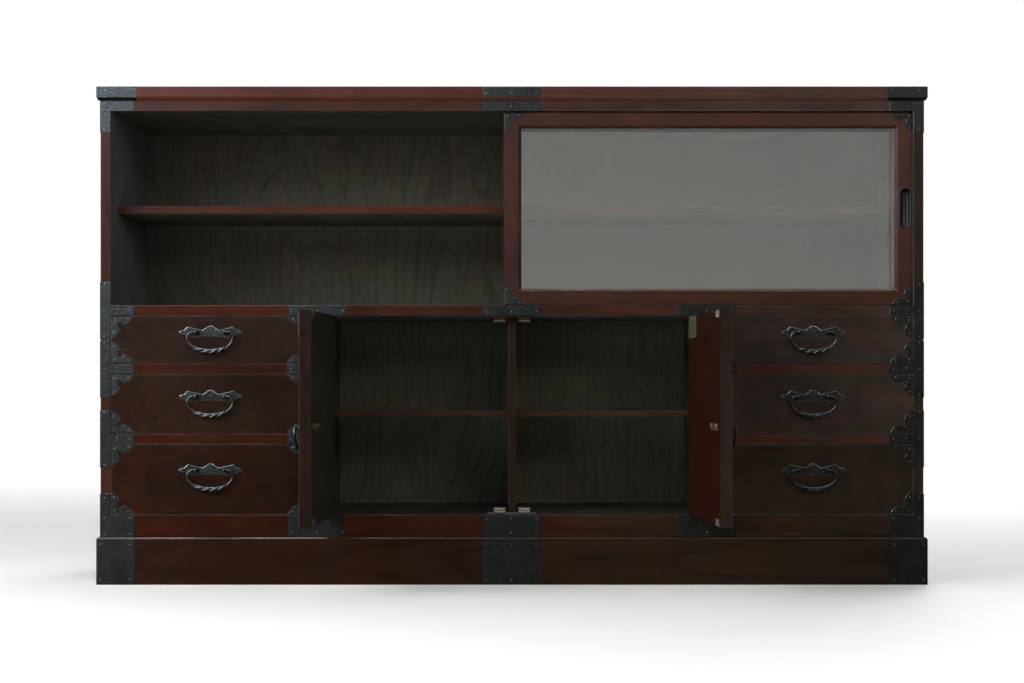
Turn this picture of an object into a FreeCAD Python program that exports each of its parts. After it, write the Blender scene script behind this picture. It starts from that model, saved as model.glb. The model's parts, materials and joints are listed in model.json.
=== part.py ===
import FreeCAD, Part

import math
import os

# Low sideboard chest of lacquered boards with iron fittings, in millimetres.
# The origin is on the floor, at the middle of the plinth's underside.
# X runs to the right along the front, Y runs to the back and Z runs up.
# Everything is drawn where it stands in the photograph: drawers shut, both sliding doors at the
# right and both hinged doors swung open.

# Carcass
body_width = 1634.0
body_depth = 442.0
side_thickness = 20.0
overhang = 7.0
plinth_height = 94.0
plinth_rail = 24.0
plinth_chamfer = 3.0
bottom_rail_height = 44.0
bottom_rail_depth = 24.0
bottom_board_thickness = 20.0
mid_board_thickness = 20.0
upper_opening_height = 386.0
head_board_thickness = 20.0
top_thickness = 28.0
top_chamfer = 6.5
door_bay_half_width = 376.0
partition_thickness = 23.0
divider_thickness = 15.0
divider_set_back = 40.0

# Back
back_recess = 8.0
back_panel_thickness = 9.0
batten_width = 40.0

# Drawers, from the bottom one up
drawer_names = ("bottom", "middle", "top")
drawer_openings = (141.0, 119.0, 96.0)
handle_rises = (19.0, 15.0, 15.0)
drawer_rail_height = 20.0
drawer_rail_depth = 24.0
runner_width = 22.0
drawer_gap = 1.0
drawer_front_thickness = 20.0
drawer_side_thickness = 10.0
drawer_side_drop = 8.0
drawer_rebate = 10.0
drawer_back_thickness = 10.0
drawer_bottom_thickness = 5.0
drawer_bottom_rise = 6.0
drawer_groove = 4.0
arris = 1.0

# Shelves
upper_shelf_rise = 188.5
upper_shelf_thickness = 15.0
upper_shelf_set_back = 78.0
shelf_housing = 6.0
lower_shelf_rise = 194.5
lower_shelf_thickness = 9.0
lower_shelf_set_back = 60.0
shelf_end_gap = 0.5
shelf_rest_size = 12.0
shelf_rest_thickness = 1.5
shelf_rest_inset = 50.0

# Sliding doors
sliding_door_width = 813.0
sliding_door_thickness = 20.0
front_door_set_back = 8.0
between_doors = 10.0
sliding_end_gap = 0.5
sliding_gap_below = 1.0
sliding_gap_above = 1.5
stile_width = 29.5
frame_top_width = 27.0
frame_bottom_width = 28.0
bevel_across_stile = 6.0
bevel_across_rail = 5.0
bevel_depth = 7.0
glass_thickness = 3.0
glass_edge = 6.0
tongue_thickness = 6.0
track_clearance = 0.5
sill_groove_depth = 4.0
sill_tongue = 4.4
head_groove_depth = 9.0
head_tongue = 6.5
pull_width = 24.0
pull_length = 83.0
pull_edge_distance = 14.3
pull_rise = 193.0
pull_rim = 2.0
pull_wall = 1.5
pull_depth = 8.0

# Hinged doors
door_thickness = 22.0
door_gap = 1.0
door_middle_gap = 1.5
left_rest_angle = 92.0
right_rest_angle = 94.0
door_handle_inset = 68.0
door_handle_height = 320.0

# Butt hinges
hinge_heights = (212.0, 458.0)
hinge_length = 48.0
hinge_leaf_depth = 19.0
hinge_leaf_thickness = 1.0
hinge_leaf_gap = 0.4
knuckle_radius = 2.6
knuckle_clear = 0.4
knuckle_share = 16.0
knuckle_sides = 12
hinge_pin_radius = 1.3
hinge_pin_fit = 0.05

# Magnetic catches
catch_centre = 24.7
catch_width = 24.0
catch_ear = 12.0
catch_ear_thickness = 2.5
catch_ear_set_back = 1.0
catch_height = 13.0
catch_depth = 14.0
pole_length = 23.0
pole_thickness = 2.5
pole_height = 6.8
pole_rise = 3.7
pole_stand = 1.5
pole_root = 9.0
catch_gap = 0.4
strike_length = 32.0
strike_height = 12.5
strike_thickness = 1.2
strike_inset = 27.75

# Iron straps and plates
iron = 1.0
post_strap_height = 113.0
strap_arm = 47.0
strap_return = 30.0
bottom_leg_height = 86.0
top_leg_drop = 43.0
top_arm = 66.5
hinge_side_margin = 3.0
partition_strap_length = 114.0
partition_leg = 42.0
centre_plate_length = 113.0
plinth_corner_length = 76.0
plinth_iron_lift = 1.5
cap_length = 79.0
centre_plate_drop = 2.0

# Cusped corner irons: leg length and lobe along the leg, measured from the corner
cusp_leg = 44.0
cusp_peak = 25.0
cusp_width = 17.0
cusp_notch = 12.0
cusp_bulge = 3.5
cusp_hollow = 2.2
corner_margin = 1.2
sliding_cusp_scale = 0.9

# Handles
plate_thickness = 1.2
plate_reach = 63.0
plate_crest = 13.5
post_spacing = 56.4
post_standoff = 11.0
post_foot_radius = 6.0
post_neck_radius = 3.6
post_neck_rise = 3.0
post_head_radius = 4.4
post_head_half_length = 2.4
post_tip_radius = 2.8
post_tip_length = 1.6
shank_size = 3.0
nut_size = 8.0
nut_thickness = 2.5
bail_pin_radius = 1.9
bail_pin_fit = 0.08
bail_wire_radius = 2.25
bail_belly_radius = 4.85
bail_half_width = 45.75
bail_curl_start = 34.0
bail_curl_drop = 11.75
bail_drop = 38.0
bail_tip = 25.0
bail_shoulder = 33.4
bail_curl_steps = 3
bail_side_share = 0.95
bail_fullness = 1.6
gadroon_pitch = 15.0
gadroon_count = 5
gadroon_notch = 0.8
bail_sides = 8

# Hand-cut outlines: the most that two neighbouring straight cuts turn, in radians
cut_turn = 0.5

# Levels and lines that follow from the sizes above
rear_y = (body_depth + overhang) / 2
front_y = rear_y - body_depth
trim_front_y = front_y - overhang
side_x = body_width / 2
inner_x = side_x - side_thickness
trim_x = side_x + overhang
partition_x = door_bay_half_width + partition_thickness
divider_x = divider_thickness / 2
back_y = rear_y - back_recess - back_panel_thickness
floor_z = plinth_height + bottom_rail_height
mid_z = floor_z + sum(drawer_openings) + drawer_rail_height * (len(drawer_openings) - 1)
sill_z = mid_z + mid_board_thickness
head_z = sill_z + upper_opening_height
roof_z = head_z + head_board_thickness
top_z = roof_z + top_thickness
drawer_centre_x = (inner_x + partition_x) / 2
front_door_y = front_y + front_door_set_back
rear_door_y = front_door_y + sliding_door_thickness + between_doors
hinge_x = door_bay_half_width - door_gap / 2
hinge_y = front_y - knuckle_radius - knuckle_clear
door_handle_x = door_middle_gap / 2 + door_handle_inset
strike_y = front_y + door_thickness + strike_thickness
pole_y = strike_y + catch_gap
catch_y = pole_y + pole_stand


def point(x, y, z):
    return FreeCAD.Vector(x, y, z)


def block(x_low, x_high, y_low, y_high, z_low, z_high):
    corner = point(x_low, y_low, z_low)
    return Part.makeBox(x_high - x_low, y_high - y_low, z_high - z_low, corner)


def mirrored(shape):
    """The same piece on the other side of the middle plane."""
    return shape.mirror(point(0, 0, 0), point(1, 0, 0))


def both_sides(shapes):
    return shapes + [mirrored(shape) for shape in shapes]


def near(a, b):
    return math.isclose(a, b, abs_tol=1e-6)


def chamfered(shape, size, chosen):
    """The solid with a chamfer along each edge whose middle passes the test."""
    edges = [edge for edge in shape.Edges if chosen(edge.CenterOfMass)]
    return shape.makeChamfer(size, edges)


def slab(steps, y_low, y_high):
    """A flat plate from y_low to y_high. A step is the next corner (x, z) of its outline, or
    (x, z, via_x, via_z) where an arc through the via point leads to that corner. Arcs are cut
    in short straight pieces, as a chisel leaves them."""
    corners = []
    for number, step in enumerate(steps):
        end = point(step[0], y_low, step[1])
        if len(step) == 4:
            start = point(steps[number - 1][0], y_low, steps[number - 1][1])
            arc = Part.Arc(start, point(step[2], y_low, step[3]), end)
            turn = arc.LastParameter - arc.FirstParameter
            pieces = math.ceil(turn / cut_turn)
            for piece in range(1, pieces):
                corners.append(arc.value(arc.FirstParameter + turn * piece / pieces))
        corners.append(end)
    outline = Part.makePolygon(corners + corners[:1])
    return Part.Face(outline).extrude(point(0, y_high - y_low, 0))


def ring(centre, side_way, up_way, radius, sides):
    """Corners of a regular polygon round the centre, in the plane of the two directions."""
    corners = []
    for number in range(sides):
        angle = 2 * math.pi * (number + 0.5) / sides
        spread = side_way * math.cos(angle) + up_way * math.sin(angle)
        corners.append(centre + spread * radius)
    return corners


def flat_face(corners):
    return Part.Face(Part.makePolygon(corners + corners[:1]))


def rod(start, reach, side_way, up_way, radius, sides):
    """A straight many-sided rod whose corners lie at the radius."""
    return flat_face(ring(start, side_way, up_way, radius, sides)).extrude(reach)


def skinned(rings):
    """A solid with flat facets from each ring of corners to the next, and a flat end facet."""
    faces = [flat_face(rings[0]), flat_face(rings[-1])]
    for near_ring, far_ring in zip(rings[:-1], rings[1:]):
        for number in range(len(near_ring)):
            a = near_ring[number - 1]
            b = near_ring[number]
            c = far_ring[number]
            d = far_ring[number - 1]
            faces.append(flat_face([a, b, c]))
            faces.append(flat_face([a, c, d]))
    shell = Part.makeShell(faces)
    shell.sewShape()
    solid = Part.makeSolid(shell)
    if solid.Volume < 0:
        solid.reverse()
    return solid.removeSplitter()


def save(name, solids):
    for solid in solids:
        assert solid.isValid(), name
    shape = solids[0] if len(solids) == 1 else Part.makeCompound(solids)
    shape.exportStep("parts/" + name + ".step")


def drawer_bays():
    """Lowest and highest level of each drawer opening, from the bottom one up."""
    bays = []
    low = floor_z
    for height in drawer_openings:
        bays.append((low, low + height))
        low += height + drawer_rail_height
    return bays


# Carcass

def plinth():
    """Five rails that share one chamfered outline: front, back, two ends and a middle one."""
    outer = block(-trim_x, trim_x, trim_front_y, rear_y, 0, plinth_height)
    ledge = chamfered(outer, plinth_chamfer, lambda c: near(c.z, plinth_height) and not near(c.y, rear_y))
    front_in = trim_front_y + plinth_rail
    rear_in = rear_y - plinth_rail
    end_in = trim_x - plinth_rail
    half = plinth_rail / 2
    zones = [
        block(-trim_x, trim_x, trim_front_y, front_in, 0, plinth_height),
        block(-trim_x, trim_x, rear_in, rear_y, 0, plinth_height),
        block(-trim_x, -end_in, front_in, rear_in, 0, plinth_height),
        block(end_in, trim_x, front_in, rear_in, 0, plinth_height),
        block(-half, half, front_in, rear_in, 0, plinth_height),
    ]
    return [ledge.common(zone).Solids[0] for zone in zones]


def side_panel():
    """The right side: a full board, housed for the end of the long shelf."""
    panel = block(inner_x, side_x, front_y, rear_y, plinth_height, roof_z)
    shelf_z = sill_z + upper_shelf_rise
    shelf_y = front_y + upper_shelf_set_back
    shelf_top = shelf_z + upper_shelf_thickness
    housing = block(inner_x, inner_x + shelf_housing, shelf_y, back_y, shelf_z, shelf_top)
    return panel.cut(housing)


def track(door_y, z_low, z_high):
    """The groove that guides a sliding door's tongue, the full width of the opening."""
    middle = door_y + sliding_door_thickness / 2
    half = tongue_thickness / 2 + track_clearance
    return block(-inner_x, inner_x, middle - half, middle + half, z_low, z_high)


def mid_board():
    board = block(-inner_x, inner_x, front_y, back_y, mid_z, sill_z)
    for door_y in (front_door_y, rear_door_y):
        board = board.cut(track(door_y, sill_z - sill_groove_depth, sill_z))
    return board


def head_board():
    board = block(-inner_x, inner_x, front_y, back_y, head_z, roof_z)
    for door_y in (front_door_y, rear_door_y):
        board = board.cut(track(door_y, head_z, head_z + head_groove_depth))
    return board


def top_board():
    """The top overhangs the front and both ends, and its underside is cut away at the edge."""
    board = block(-trim_x, trim_x, trim_front_y, rear_y, roof_z, top_z)
    return chamfered(board, top_chamfer, lambda c: near(c.z, roof_z) and not near(c.y, rear_y))


def partition():
    """The upright between the door bay and the right drawers, with its two hinge mortises."""
    board = block(door_bay_half_width, partition_x, front_y, back_y, floor_z, mid_z)
    for height in hinge_heights:
        board = board.cut(hinge_leaf_plate(hinge_x + hinge_leaf_gap / 2, height))
    return board


def drawer_rails():
    """The right-hand rails between the drawers."""
    rails = []
    for low, high in drawer_bays()[:-1]:
        top = high + drawer_rail_height
        rails.append(block(partition_x, inner_x, front_y, front_y + drawer_rail_depth, high, top))
    return rails


def drawer_runners():
    """Strips behind the right-hand rails that carry the sides of the drawers."""
    strips = []
    start = front_y + drawer_rail_depth
    for low, high in drawer_bays()[:-1]:
        top = high + drawer_rail_height
        strips.append(block(partition_x, partition_x + runner_width, start, back_y, high, top))
        strips.append(block(inner_x - runner_width, inner_x, start, back_y, high, top))
    return strips


def back_panels():
    """Two thin panels set in from the back edge, with battens that hold them flat."""
    panel_rear = back_y + back_panel_thickness
    joint_z = (mid_z + sill_z) / 2
    panels = [
        block(-inner_x, inner_x, back_y, panel_rear, plinth_height, joint_z),
        block(-inner_x, inner_x, back_y, panel_rear, joint_z, roof_z),
    ]
    half = batten_width / 2
    levels = [
        (plinth_height, plinth_height + batten_width),
        (joint_z - half, joint_z + half),
        (roof_z - batten_width, roof_z),
    ]
    battens = []
    for low, high in levels:
        battens.append(block(-inner_x, inner_x, panel_rear, rear_y, low, high))
    columns = [
        (-inner_x, -inner_x + batten_width),
        (-half, half),
        (inner_x - batten_width, inner_x),
    ]
    for lower, upper in zip(levels[:-1], levels[1:]):
        for left, right in columns:
            battens.append(block(left, right, panel_rear, rear_y, lower[1], upper[0]))
    return panels + battens


def upper_shelf():
    """The long shelf, housed in both sides and nailed through the back panel."""
    low = sill_z + upper_shelf_rise
    ends = inner_x + shelf_housing
    shelf_y = front_y + upper_shelf_set_back
    return [block(-ends, ends, shelf_y, back_y, low, low + upper_shelf_thickness)]


def lower_shelf():
    low = floor_z + lower_shelf_rise
    left = divider_x + shelf_end_gap
    right = door_bay_half_width - shelf_end_gap
    start = front_y + lower_shelf_set_back
    return block(left, right, start, back_y - shelf_end_gap, low, low + lower_shelf_thickness)


def shelf_rests():
    """Four angle rests under the right-hand lower shelf."""
    top = floor_z + lower_shelf_rise
    size = shelf_rest_size
    thin = shelf_rest_thickness
    angle = [(0, 0), (size, 0), (size, -thin), (thin, -thin), (thin, -size), (0, -size)]
    front_row = front_y + lower_shelf_set_back + shelf_rest_inset
    rear_row = back_y - shelf_rest_inset
    rests = []
    for middle in (front_row, rear_row):
        at_divider = [(divider_x + x, top + z) for x, z in angle]
        at_partition = [(door_bay_half_width - x, top + z) for x, z in angle]
        for steps in (at_divider, at_partition):
            rests.append(slab(steps, middle - size / 2, middle + size / 2))
    return rests


# Iron straps

def wrapped(front_steps, z_low, z_high, depth, outer_x, face_y):
    """A front plate and its return round the right-hand corner, bent from one piece."""
    plate = slab(front_steps, face_y - iron, face_y)
    turned = block(outer_x, outer_x + iron, face_y - iron, face_y + depth, z_low, z_high)
    return plate.fuse(turned).removeSplitter()


def post_straps():
    """Right-hand post: T straps at three rails, an L at the foot and an L at the head."""
    half = post_strap_height / 2
    bays = drawer_bays()
    rails = [(low_bay[1], high_bay[0]) for low_bay, high_bay in zip(bays[:-1], bays[1:])]
    rails.append((mid_z, sill_z))
    arm_x = inner_x - strap_arm
    straps = []
    for low, high in rails:
        middle = (low + high) / 2
        outline = [
            (inner_x, middle - half),
            (side_x, middle - half),
            (side_x, middle + half),
            (inner_x, middle + half),
            (inner_x, high),
            (arm_x, high),
            (arm_x, low),
            (inner_x, low),
        ]
        straps.append(wrapped(outline, middle - half, middle + half, strap_return, side_x, front_y))
    leg_top = plinth_height + bottom_leg_height
    foot = [
        (arm_x, plinth_height),
        (side_x, plinth_height),
        (side_x, leg_top),
        (inner_x, leg_top),
        (inner_x, floor_z),
        (arm_x, floor_z),
    ]
    straps.append(wrapped(foot, plinth_height, leg_top, strap_return, side_x, front_y))
    leg_foot = head_z - top_leg_drop
    arm_end = side_x - top_arm
    head = [
        (arm_end, head_z),
        (inner_x, head_z),
        (inner_x, leg_foot),
        (side_x, leg_foot),
        (side_x, roof_z),
        (arm_end, roof_z),
    ]
    straps.append(wrapped(head, leg_foot, roof_z, strap_return, side_x, front_y))
    return straps


def partition_straps():
    """Right-hand partition: T straps on the mid and bottom rails and on the drawer rails."""
    leg_in = door_bay_half_width + hinge_side_margin
    leg_out = partition_x
    middle = (door_bay_half_width + partition_x) / 2
    reach = partition_strap_length / 2
    half = post_strap_height / 2
    arm_x = leg_out + strap_arm
    upper = [
        (middle - reach, mid_z),
        (leg_in, mid_z),
        (leg_in, mid_z - partition_leg),
        (leg_out, mid_z - partition_leg),
        (leg_out, mid_z),
        (middle + reach, mid_z),
        (middle + reach, sill_z),
        (middle - reach, sill_z),
    ]
    lower = [
        (middle - reach, plinth_height),
        (middle + reach, plinth_height),
        (middle + reach, floor_z),
        (leg_out, floor_z),
        (leg_out, floor_z + partition_leg),
        (leg_in, floor_z + partition_leg),
        (leg_in, floor_z),
        (middle - reach, floor_z),
    ]
    outlines = [upper, lower]
    for low_bay, high_bay in zip(drawer_bays()[:-1], drawer_bays()[1:]):
        low = low_bay[1]
        high = high_bay[0]
        level = (low + high) / 2
        outlines.append([
            (leg_in, level - half),
            (leg_out, level - half),
            (leg_out, low),
            (arm_x, low),
            (arm_x, high),
            (leg_out, high),
            (leg_out, level + half),
            (leg_in, level + half),
        ])
    return [slab(steps, front_y - iron, front_y) for steps in outlines]


def plate_at_middle(low, high, face_y):
    half = centre_plate_length / 2
    return block(-half, half, face_y - iron, face_y, low, high)


def carcass_irons():
    middle_plates = [
        plate_at_middle(plinth_height, floor_z, front_y),
        plate_at_middle(mid_z, sill_z, front_y),
        plate_at_middle(head_z, roof_z, front_y),
    ]
    return both_sides(post_straps() + partition_straps()) + middle_plates


def corner_cap(length, low, high):
    """A band round the front right corner of the plinth or of the top board."""
    front_leg = [
        (trim_x + iron - length, low),
        (trim_x, low),
        (trim_x, high),
        (trim_x + iron - length, high),
    ]
    return wrapped(front_leg, low, high, length - iron, trim_x, trim_front_y)


def plinth_irons():
    high = plinth_height - plinth_chamfer
    caps = both_sides([corner_cap(plinth_corner_length, plinth_iron_lift, high)])
    return caps + [plate_at_middle(plinth_iron_lift, high, trim_front_y)]


def top_irons():
    low = roof_z + top_chamfer
    caps = both_sides([corner_cap(cap_length, low, top_z)])
    return caps + [plate_at_middle(low, top_z - centre_plate_drop, trim_front_y)]


def cusped_corner(corner_x, corner_z, turn_x, turn_z, face_y, scale):
    """A corner iron whose two legs are ogee lobes. turn_x and turn_z are 1 or -1 and point
    from the corner into the panel."""
    leg = cusp_leg * scale
    peak = cusp_peak * scale
    width = cusp_width * scale
    notch = cusp_notch * scale
    outer_length = math.hypot(leg - peak, width)
    outer_via = (
        (leg + peak) / 2 + cusp_bulge * width / outer_length,
        width / 2 + cusp_bulge * (leg - peak) / outer_length,
    )
    inner_via = (
        (peak + notch) / 2,
        (width + notch) / 2 - cusp_hollow,
    )
    local = [
        (0, 0),
        (leg, 0),
        (peak, width) + outer_via,
        (notch, notch) + inner_via,
        (width, peak) + inner_via[::-1],
        (0, leg) + outer_via[::-1],
    ]
    placed = []
    for step in local:
        signs = (turn_x, turn_z) * (len(step) // 2)
        base = (corner_x, corner_z) * (len(step) // 2)
        placed.append(tuple(b + s * value for b, s, value in zip(base, signs, step)))
    return slab(placed, face_y - iron, face_y)


def four_corner_irons(x_low, x_high, z_low, z_high, face_y, scale):
    irons = []
    for corner_x, turn_x in ((x_low + corner_margin, 1), (x_high - corner_margin, -1)):
        for corner_z, turn_z in ((z_low + corner_margin, 1), (z_high - corner_margin, -1)):
            irons.append(cusped_corner(corner_x, corner_z, turn_x, turn_z, face_y, scale))
    return irons


# Handles

def backplate(x, face_y, z):
    """The plate: a crest in the middle, shoulders over the posts, pointed ends and a lobe under
    each post. A step is (x, z), or (x, z, via_x, via_z) where an arc leads to it."""
    over_post = post_spacing / 2
    right_half = [
        (0.0, plate_crest),
        (9.0, 9.1, 5.0, 12.3),
        (over_post - 11.2, 4.4, over_post - 15.6, 6.2),
        (over_post + 6.8, 9.5, over_post - 2.2, 6.3),
        (over_post + 18.8, 9.7, over_post + 13.0, 10.8),
        (plate_reach - 11.0, 4.2, plate_reach - 12.8, 6.8),
        (plate_reach, 0.0, plate_reach - 4.8, 3.2),
        (plate_reach - 1.0, -3.0),
        (plate_reach - 13.6, -7.5, plate_reach - 7.4, -4.4),
        (over_post - 5.2, -9.0, over_post + 7.8, -13.0),
    ]
    left_half = []
    for step, following in zip(right_half, right_half[1:] + [right_half[-1][:2]]):
        left_half.append((-step[0], step[1]) + tuple(
            sign * value for sign, value in zip((-1, 1), following[2:])
        ))
    placed = []
    for step in right_half[1:] + left_half[::-1]:
        base = (x, z) * (len(step) // 2)
        placed.append(tuple(b + value for b, value in zip(base, step)))
    return slab(placed, face_y - plate_thickness, face_y)


def post_positions(x):
    half = post_spacing / 2
    return (x - half, x + half)


def shank_hole(post_x, face_y, z, y_low, y_high):
    half = shank_size / 2
    return block(post_x - half, post_x + half, y_low, y_high, z - half, z + half)


def post(post_x, face_y, z, board_thickness):
    """A forged post with a square shank through the board and an eye for the bail's end."""
    plate_y = face_y - plate_thickness
    eye_y = face_y - post_standoff
    head_front = eye_y - post_head_half_length
    stations = [
        (plate_y, post_foot_radius),
        (plate_y - post_neck_rise, post_neck_radius),
        (eye_y + post_head_half_length, post_head_radius),
        (head_front, post_head_radius),
        (head_front - post_tip_length, post_tip_radius),
    ]
    across = point(1, 0, 0)
    upward = point(0, 0, 1)
    rings = []
    for y, radius in stations:
        rings.append(ring(point(post_x, y, z), across, upward, radius, bail_sides))
    tail_y = face_y + board_thickness + nut_thickness
    shank = shank_hole(post_x, face_y, z, plate_y, tail_y)
    eye_radius = (bail_pin_radius + bail_pin_fit) / math.cos(math.pi / bail_sides)
    eye_start = point(post_x - post_foot_radius, eye_y, z)
    through = across * (2 * post_foot_radius)
    eye = rod(eye_start, through, point(0, 1, 0), upward, eye_radius, bail_sides)
    return skinned(rings).cut(eye).fuse(shank)


def handle_fittings(x, face_y, z, board_thickness):
    """Backplate, two posts and two square nuts on the inside of the board."""
    plate = backplate(x, face_y, z)
    inside_y = face_y + board_thickness
    half = nut_size / 2
    pieces = []
    for post_x in post_positions(x):
        hole = shank_hole(post_x, face_y, z, face_y - plate_thickness, inside_y + nut_thickness)
        plate = plate.cut(hole)
        nut = block(post_x - half, post_x + half, inside_y, inside_y + nut_thickness, z - half, z + half)
        pieces.append(post(post_x, face_y, z, board_thickness))
        pieces.append(nut.cut(hole))
    return [plate] + pieces


def bored_for_handle(board, x, face_y, z, board_thickness):
    for post_x in post_positions(x):
        board = board.cut(shank_hole(post_x, face_y, z, face_y, face_y + board_thickness))
    return board


def belly_radius(x):
    """Half the bail's thickness in its lower part: full at the middle, with a notch between
    the gadroons."""
    swell = math.cos(math.pi * x / (2 * bail_half_width)) ** 2
    full = bail_wire_radius + (bail_belly_radius - bail_wire_radius) * min(1.0, bail_fullness * swell)
    from_lobe = abs(x / gadroon_pitch - round(x / gadroon_pitch))
    if abs(x) > gadroon_pitch * gadroon_count / 2:
        return full
    return full * (1 - (1 - gadroon_notch) * (2 * from_lobe) ** 2)


def bail_stations():
    """Centre line and radius of the right half of the bail, from its tip in the post to the
    middle: a straight end, an elliptic curl and a half ellipse hung below it."""
    curl_width = bail_half_width - bail_curl_start
    stations = [
        (bail_tip, 0.0, bail_pin_radius),
        (bail_shoulder, 0.0, bail_pin_radius),
    ]
    for step in range(1, bail_curl_steps + 1):
        angle = math.pi / 2 * step / bail_curl_steps
        x = bail_curl_start + curl_width * math.sin(angle)
        stations.append((x, -bail_curl_drop * (1 - math.cos(angle)), bail_wire_radius))
    lower_height = bail_drop - bail_curl_drop
    below = [bail_half_width * bail_side_share]
    for half_pitches in range(gadroon_count, -1, -1):
        below.append(half_pitches * gadroon_pitch / 2)
    for x in below:
        fall = lower_height * math.sqrt(1 - (x / bail_half_width) ** 2)
        stations.append((x, -bail_curl_drop - fall, belly_radius(x)))
    return stations


def bail(x, face_y, z):
    """The swinging handle, a forged loop of even-sided section with its ends in the posts."""
    right = bail_stations()
    left = [(-station[0], station[1], station[2]) for station in right[-2::-1]]
    line = right + left
    eye_y = face_y - post_standoff
    centres = [point(x + station[0], eye_y, z + station[1]) for station in line]
    forward = point(0, 1, 0)
    rings = []
    for number, station in enumerate(line):
        before = centres[max(number - 1, 0)]
        after = centres[min(number + 1, len(centres) - 1)]
        along = after - before
        if station[1] == 0:
            along.z = 0
        along.normalize()
        outward = along.cross(forward)
        rings.append(ring(centres[number], forward, outward, station[2], bail_sides))
    return skinned(rings)


# Hinged doors, drawn closed on the right-hand side

def hinge_leaf_plate(x_low, height):
    """The flat part of a hinge leaf, from behind the knuckle into the gap beside the door."""
    y_low = hinge_y + knuckle_radius + knuckle_clear
    half = hinge_length / 2
    x_high = x_low + hinge_leaf_thickness
    return block(x_low, x_high, y_low, front_y + hinge_leaf_depth, height - half, height + half)


def upright_rod(low, high, radius):
    """A rod on the hinge's own line."""
    reach = point(0, 0, high - low)
    start = point(hinge_x, hinge_y, low)
    return rod(start, reach, point(1, 0, 0), point(0, 1, 0), radius, knuckle_sides)


def leaf_with_knuckles(x_low, height, spans):
    """A leaf with its knuckles, each joined to the plate by a strip as tall as itself."""
    leaf = hinge_leaf_plate(x_low, height)
    for low, high in spans:
        strip_end = hinge_y + knuckle_radius + knuckle_clear
        strip = block(x_low, x_low + hinge_leaf_thickness, hinge_y, strip_end, low, high)
        leaf = leaf.fuse(strip).fuse(upright_rod(low, high, knuckle_radius))
    return leaf.removeSplitter()


def hinge_pin(height, radius):
    half = hinge_length / 2
    return upright_rod(height - half, height + half, radius)


def fixed_hinge_leaves():
    """On the partition: the outer knuckles, with the pin held in them."""
    pieces = []
    half = hinge_length / 2
    for height in hinge_heights:
        middle = knuckle_share / 2 + knuckle_clear
        spans = [(height - half, height - middle), (height + middle, height + half)]
        leaf = leaf_with_knuckles(hinge_x + hinge_leaf_gap / 2, height, spans)
        pin = hinge_pin(height, hinge_pin_radius)
        pieces.append(leaf.cut(pin))
        pieces.append(pin)
    return pieces


def moving_hinge_leaves():
    """On the door: the middle knuckle, bored to turn on the pin."""
    pieces = []
    for height in hinge_heights:
        spans = [(height - knuckle_share / 2, height + knuckle_share / 2)]
        x_low = hinge_x - hinge_leaf_gap / 2 - hinge_leaf_thickness
        leaf = leaf_with_knuckles(x_low, height, spans)
        bore = (hinge_pin_radius + hinge_pin_fit) / math.cos(math.pi / knuckle_sides)
        pieces.append(leaf.cut(hinge_pin(height, bore)))
    return pieces


def door_edges():
    """Lowest and highest x and z of the right-hand door when it is closed."""
    x_high = door_bay_half_width - door_gap
    return door_middle_gap / 2, x_high, floor_z + door_gap, mid_z - door_gap


def door_board():
    x_low, x_high, z_low, z_high = door_edges()
    board = block(x_low, x_high, front_y, front_y + door_thickness, z_low, z_high)
    board = chamfered(board, arris, lambda c: near(c.y, front_y))
    for leaf in moving_hinge_leaves():
        board = board.cut(leaf)
    return bored_for_handle(board, door_handle_x, front_y, door_handle_height, door_thickness)


def door_irons():
    x_low, x_high, z_low, z_high = door_edges()
    corners = four_corner_irons(x_low, x_high, z_low, z_high, front_y, 1.0)
    return corners + handle_fittings(door_handle_x, front_y, door_handle_height, door_thickness)


def door_strikes():
    """Steel plates on the inner face that meet the magnets, one near each end of the door."""
    inside_y = front_y + door_thickness
    middle = door_middle_gap / 2 + strike_inset
    half = strike_length / 2
    plates = []
    for level in pole_levels():
        low = max(level - strike_height / 2, floor_z + door_gap + arris)
        high = low + strike_height
        plates.append(block(middle - half, middle + half, inside_y, strike_y, low, high))
    return plates


def door_bail():
    return bail(door_handle_x, front_y, door_handle_height)


def opened(shapes, angle):
    """Right-hand door pieces, swung out by the angle."""
    for shape in shapes:
        shape.rotate(point(hinge_x, hinge_y, 0), point(0, 0, 1), angle)
    return shapes


# Magnetic catches

def pole_levels():
    """Middle height of the bottom catch's poles and of the top catch's."""
    middle = pole_rise + pole_height / 2
    return floor_z + middle, mid_z - middle


def pole_plates():
    """The two steel pole plates of the right-hand catches, bottom and top."""
    plates = []
    half = pole_length / 2
    for level in pole_levels():
        low = level - pole_height / 2
        high = level + pole_height / 2
        for plate_low in (low, high - pole_thickness):
            plate_high = plate_low + pole_thickness
            rear = catch_y + pole_root
            x_low = catch_centre - half
            plates.append(block(x_low, x_low + pole_length, pole_y, rear, plate_low, plate_high))
    return plates


def catch_cases():
    """Moulded cases with a thin ear at each end, one on the floor and one under the mid board."""
    cases = []
    half = catch_width / 2
    x_low = catch_centre - half
    x_high = catch_centre + half
    rear = catch_y + catch_depth
    ears = ((floor_z, floor_z + catch_ear_thickness), (mid_z - catch_ear_thickness, mid_z))
    bodies = ((floor_z, floor_z + catch_height), (mid_z - catch_height, mid_z))
    for ear, body in zip(ears, bodies):
        case = block(x_low, x_high, catch_y, rear, body[0], body[1])
        case = chamfered(case, arris, lambda c: near(c.y, catch_y) and near(c.x, catch_centre))
        base = block(x_low - catch_ear, x_high + catch_ear, catch_y + catch_ear_set_back, rear, ear[0], ear[1])
        case = case.fuse(base).removeSplitter()
        for plate in pole_plates():
            case = case.cut(plate)
        cases.append(case)
    return cases


# Sliding doors

def sliding_outline(x_low):
    """Lowest and highest x and z of a sliding door's frame, without its tongues."""
    z_low = sill_z + sliding_gap_below
    z_high = head_z - sliding_gap_above
    return x_low, x_low + sliding_door_width, z_low, z_high


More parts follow.
